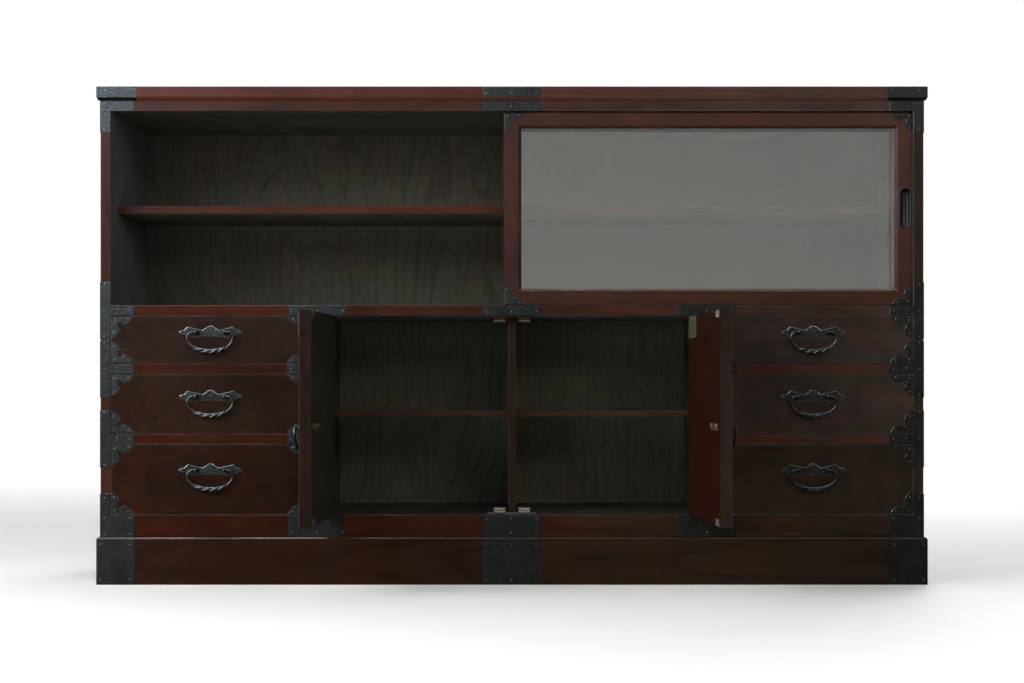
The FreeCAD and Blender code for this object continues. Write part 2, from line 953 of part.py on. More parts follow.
def bevelled_opening(x_low, face_y):
    """The view opening of a door: flared at the face, then square to the back."""
    left, right, low, high = sliding_outline(x_low)
    flare = []
    for inset, y in ((0.0, face_y), (1.0, face_y + bevel_depth)):
        across = stile_width + bevel_across_stile * inset
        below = frame_bottom_width + bevel_across_rail * inset
        above = frame_top_width + bevel_across_rail * inset
        corners = [
            point(left + across, y, low + below),
            point(right - across, y, low + below),
            point(right - across, y, high - above),
            point(left + across, y, high - above),
        ]
        flare.append(Part.makePolygon(corners + corners[:1]))
    square = block(
        left + stile_width + bevel_across_stile,
        right - stile_width - bevel_across_stile,
        face_y + bevel_depth,
        face_y + sliding_door_thickness,
        low + frame_bottom_width + bevel_across_rail,
        high - frame_top_width - bevel_across_rail,
    )
    return Part.makeLoft(flare, True, True).fuse(square)


def glass_pane(x_low, face_y):
    """The pane, set into grooves all round behind the bevel."""
    left, right, low, high = sliding_outline(x_low)
    across = stile_width + bevel_across_stile - glass_edge
    below = frame_bottom_width + bevel_across_rail - glass_edge
    above = frame_top_width + bevel_across_rail - glass_edge
    y_low = face_y + bevel_depth
    y_high = y_low + glass_thickness
    return block(left + across, right - across, y_low, y_high, low + below, high - above)


def sliding_frame(x_low, face_y, pull_x):
    """Two stiles and two rails with tongues above and below, cut for the pane and the pull."""
    left, right, low, high = sliding_outline(x_low)
    y_rear = face_y + sliding_door_thickness
    middle = (face_y + y_rear) / 2
    half = tongue_thickness / 2
    whole = block(left, right, face_y, y_rear, low, high)
    foot = block(left, right, middle - half, middle + half, low - sill_tongue, low)
    head = block(left, right, middle - half, middle + half, high, high + head_tongue)
    whole = whole.fuse(foot).fuse(head).removeSplitter()
    whole = whole.cut(bevelled_opening(x_low, face_y))
    whole = whole.cut(glass_pane(x_low, face_y))
    whole = whole.cut(pull_body(pull_x, face_y))
    stile = stile_width + bevel_across_stile
    centre_z = (low + high) / 2
    bottom = low - sill_tongue
    top = high + head_tongue
    zones = [
        block(left, left + stile, face_y, y_rear, bottom, top),
        block(right - stile, right, face_y, y_rear, bottom, top),
        block(left + stile, right - stile, face_y, y_rear, bottom, centre_z),
        block(left + stile, right - stile, face_y, y_rear, centre_z, top),
    ]
    return [whole.common(zone).Solids[0] for zone in zones]


def stadium(x, z, width, length, y_low, y_high):
    """An upright oblong with round ends."""
    radius = width / 2
    straight = length / 2 - radius
    steps = [
        (x + radius, z - straight),
        (x + radius, z + straight),
        (x - radius, z + straight, x, z + length / 2),
        (x - radius, z - straight),
    ]
    lower_end = steps[0] + (x, z - length / 2)
    return slab([lower_end] + steps[1:], y_low, y_high)


def pull_body(x, face_y):
    """The space that the pull's cup takes in the stile."""
    z = sill_z + pull_rise
    width = pull_width - 2 * pull_rim
    length = pull_length - 2 * pull_rim
    return stadium(x, z, width, length, face_y, face_y + pull_depth + pull_wall)


def pull_cup(x, face_y):
    """The iron finger cup, with a rim that lies on the face of the stile."""
    z = sill_z + pull_rise
    rim = stadium(x, z, pull_width, pull_length, face_y - iron, face_y)
    inside = 2 * (pull_rim + pull_wall)
    hollow = stadium(
        x, z, pull_width - inside, pull_length - inside, face_y - iron, face_y + pull_depth
    )
    return rim.fuse(pull_body(x, face_y)).cut(hollow).removeSplitter()


def sliding_irons(x_low, face_y, pull_x):
    left, right, low, high = sliding_outline(x_low)
    corners = four_corner_irons(left, right, low, high, face_y, sliding_cusp_scale)
    return corners + [pull_cup(pull_x, face_y)]


# Drawers, drawn on the right-hand side

def drawer_front(low, high, rise):
    """A thick front, rebated at both ends for the sides and grooved for the bottom."""
    left = partition_x + drawer_gap
    right = inner_x - drawer_gap
    rear = front_y + drawer_front_thickness
    front = block(left, right, front_y, rear, low, high)
    front = chamfered(front, arris, lambda c: near(c.y, front_y))
    shoulder = rear - drawer_rebate
    side = drawer_side_thickness
    for x_low, x_high in ((left, left + side), (right - side, right)):
        front = front.cut(block(x_low, x_high, shoulder, rear, low, high))
    front = front.cut(drawer_bottom(low))
    handle_z = (low + high) / 2 + rise
    return bored_for_handle(front, drawer_centre_x, front_y, handle_z, drawer_front_thickness)


def drawer_bottom(low):
    inset = drawer_gap + drawer_side_thickness - drawer_groove
    y_low = front_y + drawer_front_thickness - drawer_groove
    z_low = low + drawer_bottom_rise
    z_high = z_low + drawer_bottom_thickness
    rear = back_y - drawer_gap
    return block(partition_x + inset, inner_x - inset, y_low, rear, z_low, z_high)


def drawer_box(low, high):
    """Two sides, the back and the bottom. The bottom lies in grooves and runs under the back."""
    left = partition_x + drawer_gap
    right = inner_x - drawer_gap
    start = front_y + drawer_front_thickness - drawer_rebate
    rear = back_y - drawer_gap
    top = high - drawer_side_drop
    side = drawer_side_thickness
    bottom = drawer_bottom(low)
    back_low = low + drawer_bottom_rise + drawer_bottom_thickness
    back = block(left + side, right - side, rear - drawer_back_thickness, rear, back_low, top)
    left_side = block(left, left + side, start, rear, low, top).cut(bottom)
    right_side = block(right - side, right, start, rear, low, top).cut(bottom)
    return [left_side, right_side, back, bottom]


def drawer_irons(low, high, rise):
    left = partition_x + drawer_gap
    right = inner_x - drawer_gap
    corners = four_corner_irons(left, right, low, high, front_y, 1.0)
    handle_z = (low + high) / 2 + rise
    return corners + handle_fittings(drawer_centre_x, front_y, handle_z, drawer_front_thickness)


def save_drawers():
    for name, bay, rise in zip(drawer_names, drawer_bays(), handle_rises):
        low = bay[0] + drawer_gap
        high = bay[1] - drawer_gap
        handle_z = (low + high) / 2 + rise
        groups = {
            "front": [drawer_front(low, high, rise)],
            "box": drawer_box(low, high),
            "irons": drawer_irons(low, high, rise),
            "bail": [bail(drawer_centre_x, front_y, handle_z)],
        }
        for group, solids in groups.items():
            save("drawer_right_" + name + "_" + group, solids)
            save("drawer_left_" + name + "_" + group, [mirrored(solid) for solid in solids])


def save_hinged_doors():
    for side, angle in (("right", right_rest_angle), ("left", left_rest_angle)):
        groups = {
            "board": [door_board()],
            "irons": door_irons(),
            "hardware": moving_hinge_leaves() + door_strikes(),
            "bail": [door_bail()],
        }
        for group, solids in groups.items():
            opened(solids, angle)
            if side == "left":
                solids = [mirrored(solid) for solid in solids]
            save("door_" + side + "_" + group, solids)


def save_sliding_doors():
    """Both doors rest at the right end, one behind the other. The front door's pull is at its
    right and the rear door's at its left."""
    x_low = inner_x - sliding_end_gap - sliding_door_width
    doors = (
        ("front", front_door_y, x_low + sliding_door_width - pull_edge_distance),
        ("rear", rear_door_y, x_low + pull_edge_distance),
    )
    for name, face_y, pull_x in doors:
        save("sliding_door_" + name + "_frame", sliding_frame(x_low, face_y, pull_x))
        save("sliding_door_" + name + "_glass", [glass_pane(x_low, face_y)])
        save("sliding_door_" + name + "_irons", sliding_irons(x_low, face_y, pull_x))


def save_carcass():
    rail_rear = front_y + bottom_rail_depth
    floor_low = floor_z - bottom_board_thickness
    divider_y = front_y + divider_set_back
    panel = side_panel()
    shelf = lower_shelf()
    save("plinth", plinth())
    save("plinth_irons", plinth_irons())
    save("bottom_rail", [block(-inner_x, inner_x, front_y, rail_rear, plinth_height, floor_z)])
    save("bottom_board", [block(-inner_x, inner_x, rail_rear, back_y, floor_low, floor_z)])
    save("side_panel_right", [panel])
    save("side_panel_left", [mirrored(panel)])
    save("mid_board", [mid_board()])
    save("head_board", [head_board()])
    save("top_board", [top_board()])
    save("top_irons", top_irons())
    save("partitions", both_sides([partition()]))
    save("centre_divider", [block(-divider_x, divider_x, divider_y, back_y, floor_z, mid_z)])
    save("drawer_rails", both_sides(drawer_rails()))
    save("drawer_runners", both_sides(drawer_runners()))
    save("back_panels", back_panels())
    save("upper_shelf", upper_shelf())
    save("lower_shelves", [mirrored(shelf), shelf])
    save("shelf_rests", both_sides(shelf_rests()))
    save("carcass_irons", carcass_irons())
    save("catch_cases", both_sides(catch_cases()))
    save("catch_poles", both_sides(pole_plates()))
    save("hinge_fixed_leaves", both_sides(fixed_hinge_leaves()))


os.makedirs("parts", exist_ok=True)
save_carcass()
save_drawers()
save_hinged_doors()
save_sliding_doors()
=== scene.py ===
import json
import math
import random

import bmesh
import bpy
from mathutils import Matrix, Vector


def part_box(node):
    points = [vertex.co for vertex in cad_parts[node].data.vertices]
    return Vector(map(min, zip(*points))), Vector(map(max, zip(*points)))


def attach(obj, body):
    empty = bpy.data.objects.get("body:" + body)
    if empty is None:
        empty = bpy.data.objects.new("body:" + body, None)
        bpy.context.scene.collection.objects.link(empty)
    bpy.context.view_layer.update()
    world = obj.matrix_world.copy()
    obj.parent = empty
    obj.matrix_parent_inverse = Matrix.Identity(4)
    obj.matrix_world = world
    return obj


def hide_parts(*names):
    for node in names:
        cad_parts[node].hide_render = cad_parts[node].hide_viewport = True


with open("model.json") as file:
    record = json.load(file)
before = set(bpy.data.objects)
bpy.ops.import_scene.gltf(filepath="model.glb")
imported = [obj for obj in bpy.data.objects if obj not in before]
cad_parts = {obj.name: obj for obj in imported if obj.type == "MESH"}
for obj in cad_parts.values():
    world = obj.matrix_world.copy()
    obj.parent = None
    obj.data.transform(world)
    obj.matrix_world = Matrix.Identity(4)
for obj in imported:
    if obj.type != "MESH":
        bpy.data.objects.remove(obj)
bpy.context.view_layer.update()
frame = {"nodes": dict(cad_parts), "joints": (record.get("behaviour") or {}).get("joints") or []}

# Sizes are in metres and angles in radians. The front faces -Y and the object stands on z = 0.
MM = 0.001
FRONT = (0, -1, 0)
rng = random.Random(7)
nodes = frame["nodes"]
joint_of = {joint["child"]: joint for joint in frame["joints"]}

# Lines and levels of the carcass, read from the frame
panel_low, panel_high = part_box("side_panel_right")
front_y = panel_low.y
rear_y = panel_high.y
inner_x = panel_low.x
side_x = panel_high.x
plinth_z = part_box("plinth")[1].z
plinth_front_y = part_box("plinth")[0].y
trim_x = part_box("plinth")[1].x
floor_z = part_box("bottom_board")[1].z
mid_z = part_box("mid_board")[0].z
sill_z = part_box("mid_board")[1].z
head_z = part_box("head_board")[0].z
roof_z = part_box("head_board")[1].z
top_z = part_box("top_board")[1].z
partition_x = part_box("partitions")[1].x
DRAWERS = ("bottom", "middle", "top")
SLIDING_DOORS = ("sliding_door_front", "sliding_door_rear")
SIDES = (("left", -1), ("right", 1))

# Hinged doors
HINGE_GAP = 0.5 * MM
bay_half = abs(joint_of["door_right"]["pos_m"][0]) - HINGE_GAP
DOOR_THICKNESS = 22 * MM
DOOR_GAP = 1 * MM
DRAWER_FRONT_THICKNESS = 20 * MM

# Iron plates and nails
IRON = 1 * MM
IRON_RIM = 0.7 * MM
SURFACE_BEVEL = 0.35 * MM
NAIL_RADIUS = 1.55 * MM
NAIL_HEIGHT = 0.9 * MM
NAIL_INSET = 8 * MM
CAP_IRON = 0.6 * MM
CAP_NAIL_HEIGHT = 0.4 * MM
CAP_BEND = 2.5 * MM

# Handles, measured from the middle between the posts
POST_SPACING = 56.4 * MM
POST_STANDOFF = 11 * MM
PLATE_THICKNESS = 1.2 * MM
WIRE_RADIUS = 2.45 * MM
WIRE_END_RADIUS = 1.9 * MM
BELLY_RADIUS = 5.0 * MM
BAIL_HALF_WIDTH = 45.25 * MM
CURL_START = 34 * MM
CURL_DROP = 11.75 * MM
BAIL_DROP = 38 * MM
BAIL_TIP = 25 * MM

# Gadroons of the bail's belly. Depth and lobe are shares of its radius, and the slant is in pitches
# per radian. The cuts lie at one angle from the bail's outer side, and their floors are dark.
GADROONS = 5
GADROON_PITCH = 15.2 * MM
GADROON_FACING = 1.2
GADROON_NARROWING = 1.9
GADROON_SLANT = 0.4
GADROON_DEPTH = 0.55
GADROON_LOBE = 0.08
DARK_SHARE = 0.78

# Light and camera
MIDDLE = (0.0, 0.0, 0.5)
AMBIENT = 0.24


# Shader helpers

def new_material(name):
    """An empty material, its node tree and the object's own coordinates in it."""
    material = bpy.data.materials.new(name)
    material.use_nodes = True
    tree = material.node_tree
    tree.nodes.clear()
    return material, tree, node(tree, "TexCoord").outputs["Object"]


def node(tree, kind, **settings):
    made = tree.nodes.new("ShaderNode" + kind)
    for key, value in settings.items():
        setattr(made, key, value)
    return made


def put(tree, value, socket):
    if isinstance(value, bpy.types.NodeSocket):
        tree.links.new(value, socket)
    else:
        socket.default_value = value


def fed(tree, kind, values, **settings):
    """The first output of a node whose first inputs take the values."""
    made = node(tree, kind, **settings)
    for value, socket in zip(values, made.inputs):
        put(tree, value, socket)
    return made.outputs[0]


def maths(tree, operation, a, b=0.0, c=0.0, clamp=False):
    return fed(tree, "Math", (a, b, c), operation=operation, use_clamp=clamp)


def times(tree, a, b, clamp=False):
    return maths(tree, "MULTIPLY", a, b, clamp=clamp)


def plus(tree, a, b):
    return maths(tree, "ADD", a, b)


def minus(tree, a, b):
    return maths(tree, "SUBTRACT", a, b)


def size_of(tree, value):
    return maths(tree, "ABSOLUTE", value)


def span(tree, value, low, high):
    """A 0 to 1 value spread between low and high."""
    return maths(tree, "MULTIPLY_ADD", value, high - low, low)


def share(tree, value, start, end):
    """0 at start and 1 at end, even between them and no further."""
    return maths(tree, "MULTIPLY_ADD", value, 1 / (end - start), -start / (end - start), True)


def vector(tree, x, y, z):
    return fed(tree, "CombineXYZ", (x, y, z))


def separate(tree, place):
    parts = node(tree, "SeparateXYZ")
    tree.links.new(place, parts.inputs[0])
    return parts.outputs


def stretched(tree, ways, scales):
    return vector(tree, *[times(tree, way, scale) for way, scale in zip(ways, scales)])


def face_way(tree):
    """The face's own normal along the object's x, y and z."""
    turned = node(tree, "VectorTransform", vector_type="NORMAL", convert_from="WORLD", convert_to="OBJECT")
    tree.links.new(node(tree, "NewGeometry").outputs["True Normal"], turned.inputs[0])
    return separate(tree, turned.outputs[0])


def on_edges(tree, way):
    """1 on chamfers and rounded edges, where the face's own normal is on no axis, else 0."""
    largest = size_of(tree, way[0])
    for part in (way[1], way[2]):
        largest = maths(tree, "MAXIMUM", largest, size_of(tree, part))
    return maths(tree, "LESS_THAN", largest, 0.97)


def grey(value):
    return (value, value, value)


def scaled(colour, factor):
    return tuple(c * factor for c in colour)


def noise(tree, where, scale, detail=3.0, roughness=0.5, distortion=0.0):
    made = node(tree, "TexNoise")
    put(tree, where, made.inputs["Vector"])
    made.inputs["Scale"].default_value = scale
    made.inputs["Detail"].default_value = detail
    made.inputs["Roughness"].default_value = roughness
    made.inputs["Distortion"].default_value = distortion
    return made.outputs["Fac"]


def ramp(tree, value, stops):
    """Colours along a value. A stop is (position, colour)."""
    made = node(tree, "ValToRGB")
    put(tree, value, made.inputs[0])
    elements = made.color_ramp.elements
    while len(elements) < len(stops):
        elements.new(0.5)
    for element, (position, colour) in zip(elements, stops):
        element.position = position
        element.color = tuple(colour) + (1.0,)
    return made.outputs[0]


def patches(tree, value, low, high, least=0.0, most=1.0):
    """A grey that goes from least to most while the value goes from low to high."""
    return ramp(tree, value, [(low, grey(least)), (high, grey(most))])


def mix(tree, factor, a, b, blend="MIX"):
    made = node(tree, "Mix", data_type="RGBA", blend_type=blend)
    put(tree, factor, made.inputs[0])
    for value, socket in ((a, made.inputs[6]), (b, made.inputs[7])):
        if not isinstance(value, bpy.types.NodeSocket):
            value = tuple(value) + (1.0,)
        put(tree, value, socket)
    return made.outputs[2]


def tinted(tree, colour, tint):
    return mix(tree, 1.0, colour, tint, "MULTIPLY")


def mixed_value(tree, factor, a, b):
    made = node(tree, "Mix", data_type="FLOAT")
    for value, socket in ((factor, made.inputs[0]), (a, made.inputs[2]), (b, made.inputs[3])):
        put(tree, value, socket)
    return made.outputs[0]


def principled(tree, colour, roughness, height=None, bump=0.3, depth=0.2 * MM, **uniform):
    shader = node(tree, "BsdfPrincipled")
    if not isinstance(colour, bpy.types.NodeSocket):
        colour = tuple(colour) + (1.0,)
    put(tree, colour, shader.inputs["Base Color"])
    put(tree, roughness, shader.inputs["Roughness"])
    for key, value in uniform.items():
        shader.inputs[key.replace("_", " ")].default_value = value
    if height is not None:
        made = node(tree, "Bump")
        put(tree, bump, made.inputs["Strength"])
        made.inputs["Distance"].default_value = depth
        put(tree, height, made.inputs["Height"])
        tree.links.new(made.outputs[0], shader.inputs["Normal"])
    return shader.outputs[0]


def output(tree, shader):
    out = node(tree, "OutputMaterial")
    tree.links.new(shader, out.inputs["Surface"])


# Wood

def grain_ways(tree, by_axis, along, across, turned):
    """Coordinates along the grain, across it and into the board."""
    third = [axis for axis in "xyz" if axis not in (along, across)][0]
    length_way = by_axis[along]
    cross_way = by_axis[across]
    if turned:
        axis, middle, half = turned
        far = size_of(tree, minus(tree, by_axis[axis], middle))
        outside = maths(tree, "GREATER_THAN", far, half)
        length_way, cross_way = (mixed_value(tree, outside, length_way, cross_way),
                                 mixed_value(tree, outside, cross_way, length_way))
    return length_way, cross_way, by_axis[third]


def growth_rings(tree, side, deep, slow, variety, spacing, wander, ripple):
    """Rings round the pith line, as a grey that is dark on each line. side and deep are the
    distances from the pith."""
    drift, bend, dither = [
        span(tree, noise(tree, slow, scale, 2.0), -reach, reach)
        for scale, reach in ((3.0, wander), (11.0, 0.3 * wander), (45.0, ripple))]
    offset = plus(tree, plus(tree, drift, bend), dither)
    side = plus(tree, side, offset)
    deep = plus(tree, deep, times(tree, offset, 0.6))
    radius = maths(tree, "SQRT", plus(tree, times(tree, side, side), times(tree, deep, deep)))
    uneven = span(tree, noise(tree, vector(tree, radius, variety, 0.0), 45.0, 2.0), -1.2, 1.2)
    ring = maths(tree, "FRACT", maths(tree, "MULTIPLY_ADD", radius, 1 / spacing, uneven))
    return ramp(tree, ring, [(0.0, grey(0)), (0.1, grey(0.15)), (0.3, grey(0.85)),
                             (0.93, grey(1)), (1.0, grey(0))])


def board_tone(tree, by_axis, way, slow, tone, fade, blush, inside, shading):
    """The lacquer's tone over a board, before its figure, with any painted light and shade that the fade, the
    deep inside tone and the shading give.
    """
    colour = tone
    if fade:
        axis, start, end, far_tone = fade
        colour = mix(tree, share(tree, by_axis[axis], start, end), tone, far_tone)
    if blush:
        tint, scale = blush
        spots = patches(tree, noise(tree, slow, scale, 4.0, 0.6), 0.42, 0.64)
        colour = tinted(tree, colour, mix(tree, spots, grey(1), tint))
    if inside:
        where, limit, inner_tone = inside[:3]
        if where == "x":
            hidden = maths(tree, "LESS_THAN", size_of(tree, by_axis["x"]), limit)
        elif where == "y":
            hidden = maths(tree, "GREATER_THAN", by_axis["y"], limit)
        else:
            hidden = maths(tree, "GREATER_THAN", times(tree, way[0], limit), 0.9)
        if len(inside) == 4:
            inner_tone = mix(tree, share(tree, by_axis["y"], front_y, rear_y), inner_tone, inside[3])
        colour = mix(tree, hidden, colour, inner_tone)
    for axis, start, end, least in shading:
        shade = mix(tree, share(tree, by_axis[axis], start, end), grey(1), grey(least))
        colour = tinted(tree, colour, shade)
    return colour


def wood(name, tone, along="z", across="x", pith=(0.0, 0.0), spacing=5.5 * MM, tilt=0.06, fade=None,
         turned=None, inside=None, leaves=None, blush=None, shading=(), roughness=0.3, specular=0.008,
         wander=0.03, ripple=1.5 * MM, contrast=0.4, mottle=0.12, bump=0.15, edge_wear_and_highlight=0.4, seed=0.0):
    """Ring-porous boards under wiped lacquer. The rings are cylinders round a pith line that
    runs along the grain, behind the face and slightly tilted, which gives pointed arches.
    pith is its place across the board and its depth. fade is (axis, start, end, tone): the tone
    changes to that one from start to end, and along x this is painted light. turned is (axis,
    middle, half): past that distance from the middle the grain runs up instead, as in a door
    frame's stiles. inside is (where, limit, tone): "x", nearer the middle than the limit, "y",
    behind it, and "way", on faces that look along x with that sign, the lacquer has that other
    tone, and one more tone is the one deep inside, which the callers give lighter as painted
    light. leaves is the width of the veneer leaves that the face is made of, blush is (tint,
    patch scale), a tint in patches, shading lists painted shade and light as (axis, start, end,
    share), where the colour goes to that share, and edge_wear_and_highlight is how far the
    edges are lightened, partly as wear and partly as a painted highlight."""
    material, tree, place = new_material(name)
    by_axis = dict(zip("xyz", separate(tree, place)))
    way = face_way(tree)
    length_way, cross_way, depth_way = grain_ways(tree, by_axis, along, across, turned)
    side = minus(tree, cross_way, pith[0])
    variety = seed
    if leaves:
        leaf = maths(tree, "ROUND", maths(tree, "DIVIDE", side, leaves))
        side = minus(tree, side, times(tree, leaf, leaves))
        variety = maths(tree, "MULTIPLY_ADD", leaf, 1.7, seed)
    slow = vector(tree, maths(tree, "MULTIPLY_ADD", length_way, 0.4, variety), cross_way, depth_way)
    deep = plus(tree, minus(tree, depth_way, pith[1]), times(tree, length_way, tilt))
    line = growth_rings(tree, side, deep, slow, variety, spacing, wander, ripple)
    pore_place = stretched(tree, (length_way, cross_way, depth_way), (22.0, 700.0, 700.0))
    pores = noise(tree, pore_place, 1.0, 2.0, 0.6)
    line = times(tree, line, span(tree, pores, 0.7, 1.3), clamp=True)
    fibre_place = vector(tree, maths(tree, "MULTIPLY_ADD", length_way, 3.0, variety),
                         times(tree, cross_way, 150.0), times(tree, depth_way, 150.0))
    fibre = noise(tree, fibre_place, 1.0, 3.0, 0.6)
    faint = maths(tree, "MULTIPLY_ADD", line, contrast, 1 - contrast)
    colour = board_tone(tree, by_axis, way, slow, tone, fade, blush, inside, shading)
    colour = tinted(tree, colour, mix(tree, faint, grey(0.35), grey(1.15)))
    colour = tinted(tree, colour, patches(tree, fibre, 0.3, 0.7, 1 - 0.4 * contrast, 1 + 0.2 * contrast))
    for scale, depth in ((2.3, mottle), (17.0, 0.8 * mottle)):
        pale = (1 + 1.3 * depth, 1 + depth, 1 + depth)
        cloud = ramp(tree, noise(tree, place, scale, 4.0, 0.6), [(0.36, grey(1 - depth)), (0.64, pale)])
        colour = tinted(tree, colour, cloud)
    edge = on_edges(tree, way)
    # Wear and painted highlight: the edges turn in patches towards the lighter edge colour.
    if edge_wear_and_highlight:
        wear_and_highlight_mask = patches(tree, noise(tree, place, 35.0, 4.0, 0.65), 0.38, 0.66, 0.3 * edge_wear_and_highlight, edge_wear_and_highlight)
        colour = mix(tree, times(tree, edge, wear_and_highlight_mask), colour, WORN_AND_HIGHLIT_EDGE)
    smear = noise(tree, place, 7.0, 4.0, 0.6)
    rough = plus(tree, span(tree, smear, roughness - 0.07, roughness + 0.07),
                 span(tree, pores, 0.05, -0.05))
    rough = mixed_value(tree, edge, rough, 0.26)
    height = maths(tree, "MULTIPLY_ADD", line, 0.6, times(tree, pores, 0.4))
    strength = maths(tree, "MULTIPLY_ADD", edge, -bump, bump)
    output(tree, principled(tree, colour, rough, height, strength, 0.1 * MM, Specular_IOR_Level=specular))
    return material


def pale_wood(name, along):
    across = "z" if along != "z" else "x"
    return wood(name, (0.38, 0.26, 0.15), along, across, (0.0, 0.3), 4 * MM, 0.02,
                roughness=0.6, specular=0.3, seed=20.0)


# Metal, glass, plastic and enamel

def hammered_iron(name, light, dark, cell=150.0, wear=0.25, roughness=0.42, specular=0.06):
    """Black-oxide iron with hammer marks, and thin brown and pale rubs on the high spots."""
    material, tree, place = new_material(name)
    marks = node(tree, "TexVoronoi", feature="SMOOTH_F1")
    put(tree, place, marks.inputs["Vector"])
    marks.inputs["Scale"].default_value = cell
    marks.inputs["Smoothness"].default_value = 0.35
    marks.inputs["Randomness"].default_value = 0.9
    dent = marks.outputs["Distance"]
    grit = noise(tree, place, 900.0, 3.0, 0.7)
    patch = noise(tree, place, 28.0, 4.0, 0.6)
    colour = mix(tree, patches(tree, patch, 0.35, 0.65), dark, light)
    rub = times(tree, patches(tree, dent, 0.45, 0.85), wear)
    rub = times(tree, rub, span(tree, grit, 0.3, 1.4), clamp=True)
    colour = mix(tree, rub, colour, scaled(light, 4.0))
    rust = patches(tree, noise(tree, place, 75.0, 5.0, 0.7), 0.62, 0.74, 0.0, 0.35)
    colour = mix(tree, rust, colour, RUST)
    rough = span(tree, patch, roughness - 0.12, roughness + 0.14)
    height = maths(tree, "MULTIPLY_ADD", grit, 0.18, dent)
    output(tree, principled(tree, colour, rough, height, 0.3, 0.8 * MM, Specular_IOR_Level=specular))
    return material


def bare_and_highlit_iron(name, colour, metallic, specular):
    """Iron lighter in patches along edges and rims: partly bare where handled and partly a painted highlight.
    """
    material, tree, place = new_material(name)
    bare = patches(tree, noise(tree, place, 110.0, 4.0, 0.65), 0.42, 0.62)
    shade = mix(tree, bare, scaled(colour, 0.3), colour)
    grit = noise(tree, place, 700.0, 2.0)
    output(tree, principled(tree, shade, span(tree, grit, 0.24, 0.4), grit, 0.15, 0.1 * MM,
                            Metallic=metallic, Specular_IOR_Level=specular))
    return material


def dull_metal(name, colour):
    """Brushed metal gone dull, with faint stains."""
    material, tree, place = new_material(name)
    brush = noise(tree, stretched(tree, separate(tree, place), (600.0, 600.0, 25.0)), 1.0, 3.0, 0.6)
    stain = patches(tree, noise(tree, place, 60.0, 4.0, 0.6), 0.35, 0.7)
    shade = mix(tree, stain, scaled(colour, 0.55), colour)
    output(tree, principled(tree, shade, span(tree, brush, 0.38, 0.6), brush, 0.15, 0.1 * MM,
                            Metallic=0.6, Specular_IOR_Level=0.05))
    return material


def clear_glass(name):
    """Polished sheet with a faint green tint and a little dust. Shadows pass through it."""
    material, tree, place = new_material(name)
    dust = noise(tree, place, 5.0, 5.0, 0.6)
    tint = mix(tree, dust, (0.95, 0.975, 0.96), (0.96, 0.98, 0.968))
    shader = principled(tree, tint, span(tree, dust, 0.0, 0.006), Transmission_Weight=1.0, IOR=1.5,
                        Specular_Tint=(1.0, 1.0, 0.95, 1.0))
    clear = node(tree, "BsdfTransparent")
    clear.inputs[0].default_value = (0.94, 0.96, 0.95, 1.0)
    path = node(tree, "LightPath").outputs
    passing = maths(tree, "MAXIMUM", path["Is Shadow Ray"], path["Is Diffuse Ray"])
    output(tree, fed(tree, "MixShader", (passing, shader, clear.outputs[0])))
    return material


def moulded_plastic(name, colour):
    material, tree, place = new_material(name)
    speck = noise(tree, place, 1500.0, 2.0)
    shade = mix(tree, noise(tree, place, 30.0), scaled(colour, 0.8), colour)
    output(tree, principled(tree, shade, span(tree, speck, 0.4, 0.55), speck, 0.1, 0.05 * MM,
                            Specular_IOR_Level=0.1))
    return material


def plate_enamel(name, field, border, low, high, rim):
    """A small bare plate: an even field inside a thin metallic border. low and high are the
    plate's corners in its own plane."""
    material, tree, place = new_material(name)
    ways = separate(tree, place)
    edges = []
    for value, bottom, top in ((ways[0], low[0], high[0]), (ways[2], low[1], high[1])):
        far = size_of(tree, minus(tree, value, (bottom + top) / 2))
        edges.append(maths(tree, "GREATER_THAN", far, (top - bottom) / 2 - rim))
    wear = noise(tree, place, 260.0, 4.0, 0.6)
    shade = mix(tree, wear, scaled(field, 0.75), field)
    shade = mix(tree, maths(tree, "MAXIMUM", edges[0], edges[1]), shade, border)
    output(tree, principled(tree, shade, span(tree, wear, 0.3, 0.45), wear, 0.05, 0.05 * MM,
                            Specular_IOR_Level=0.1))
    return material


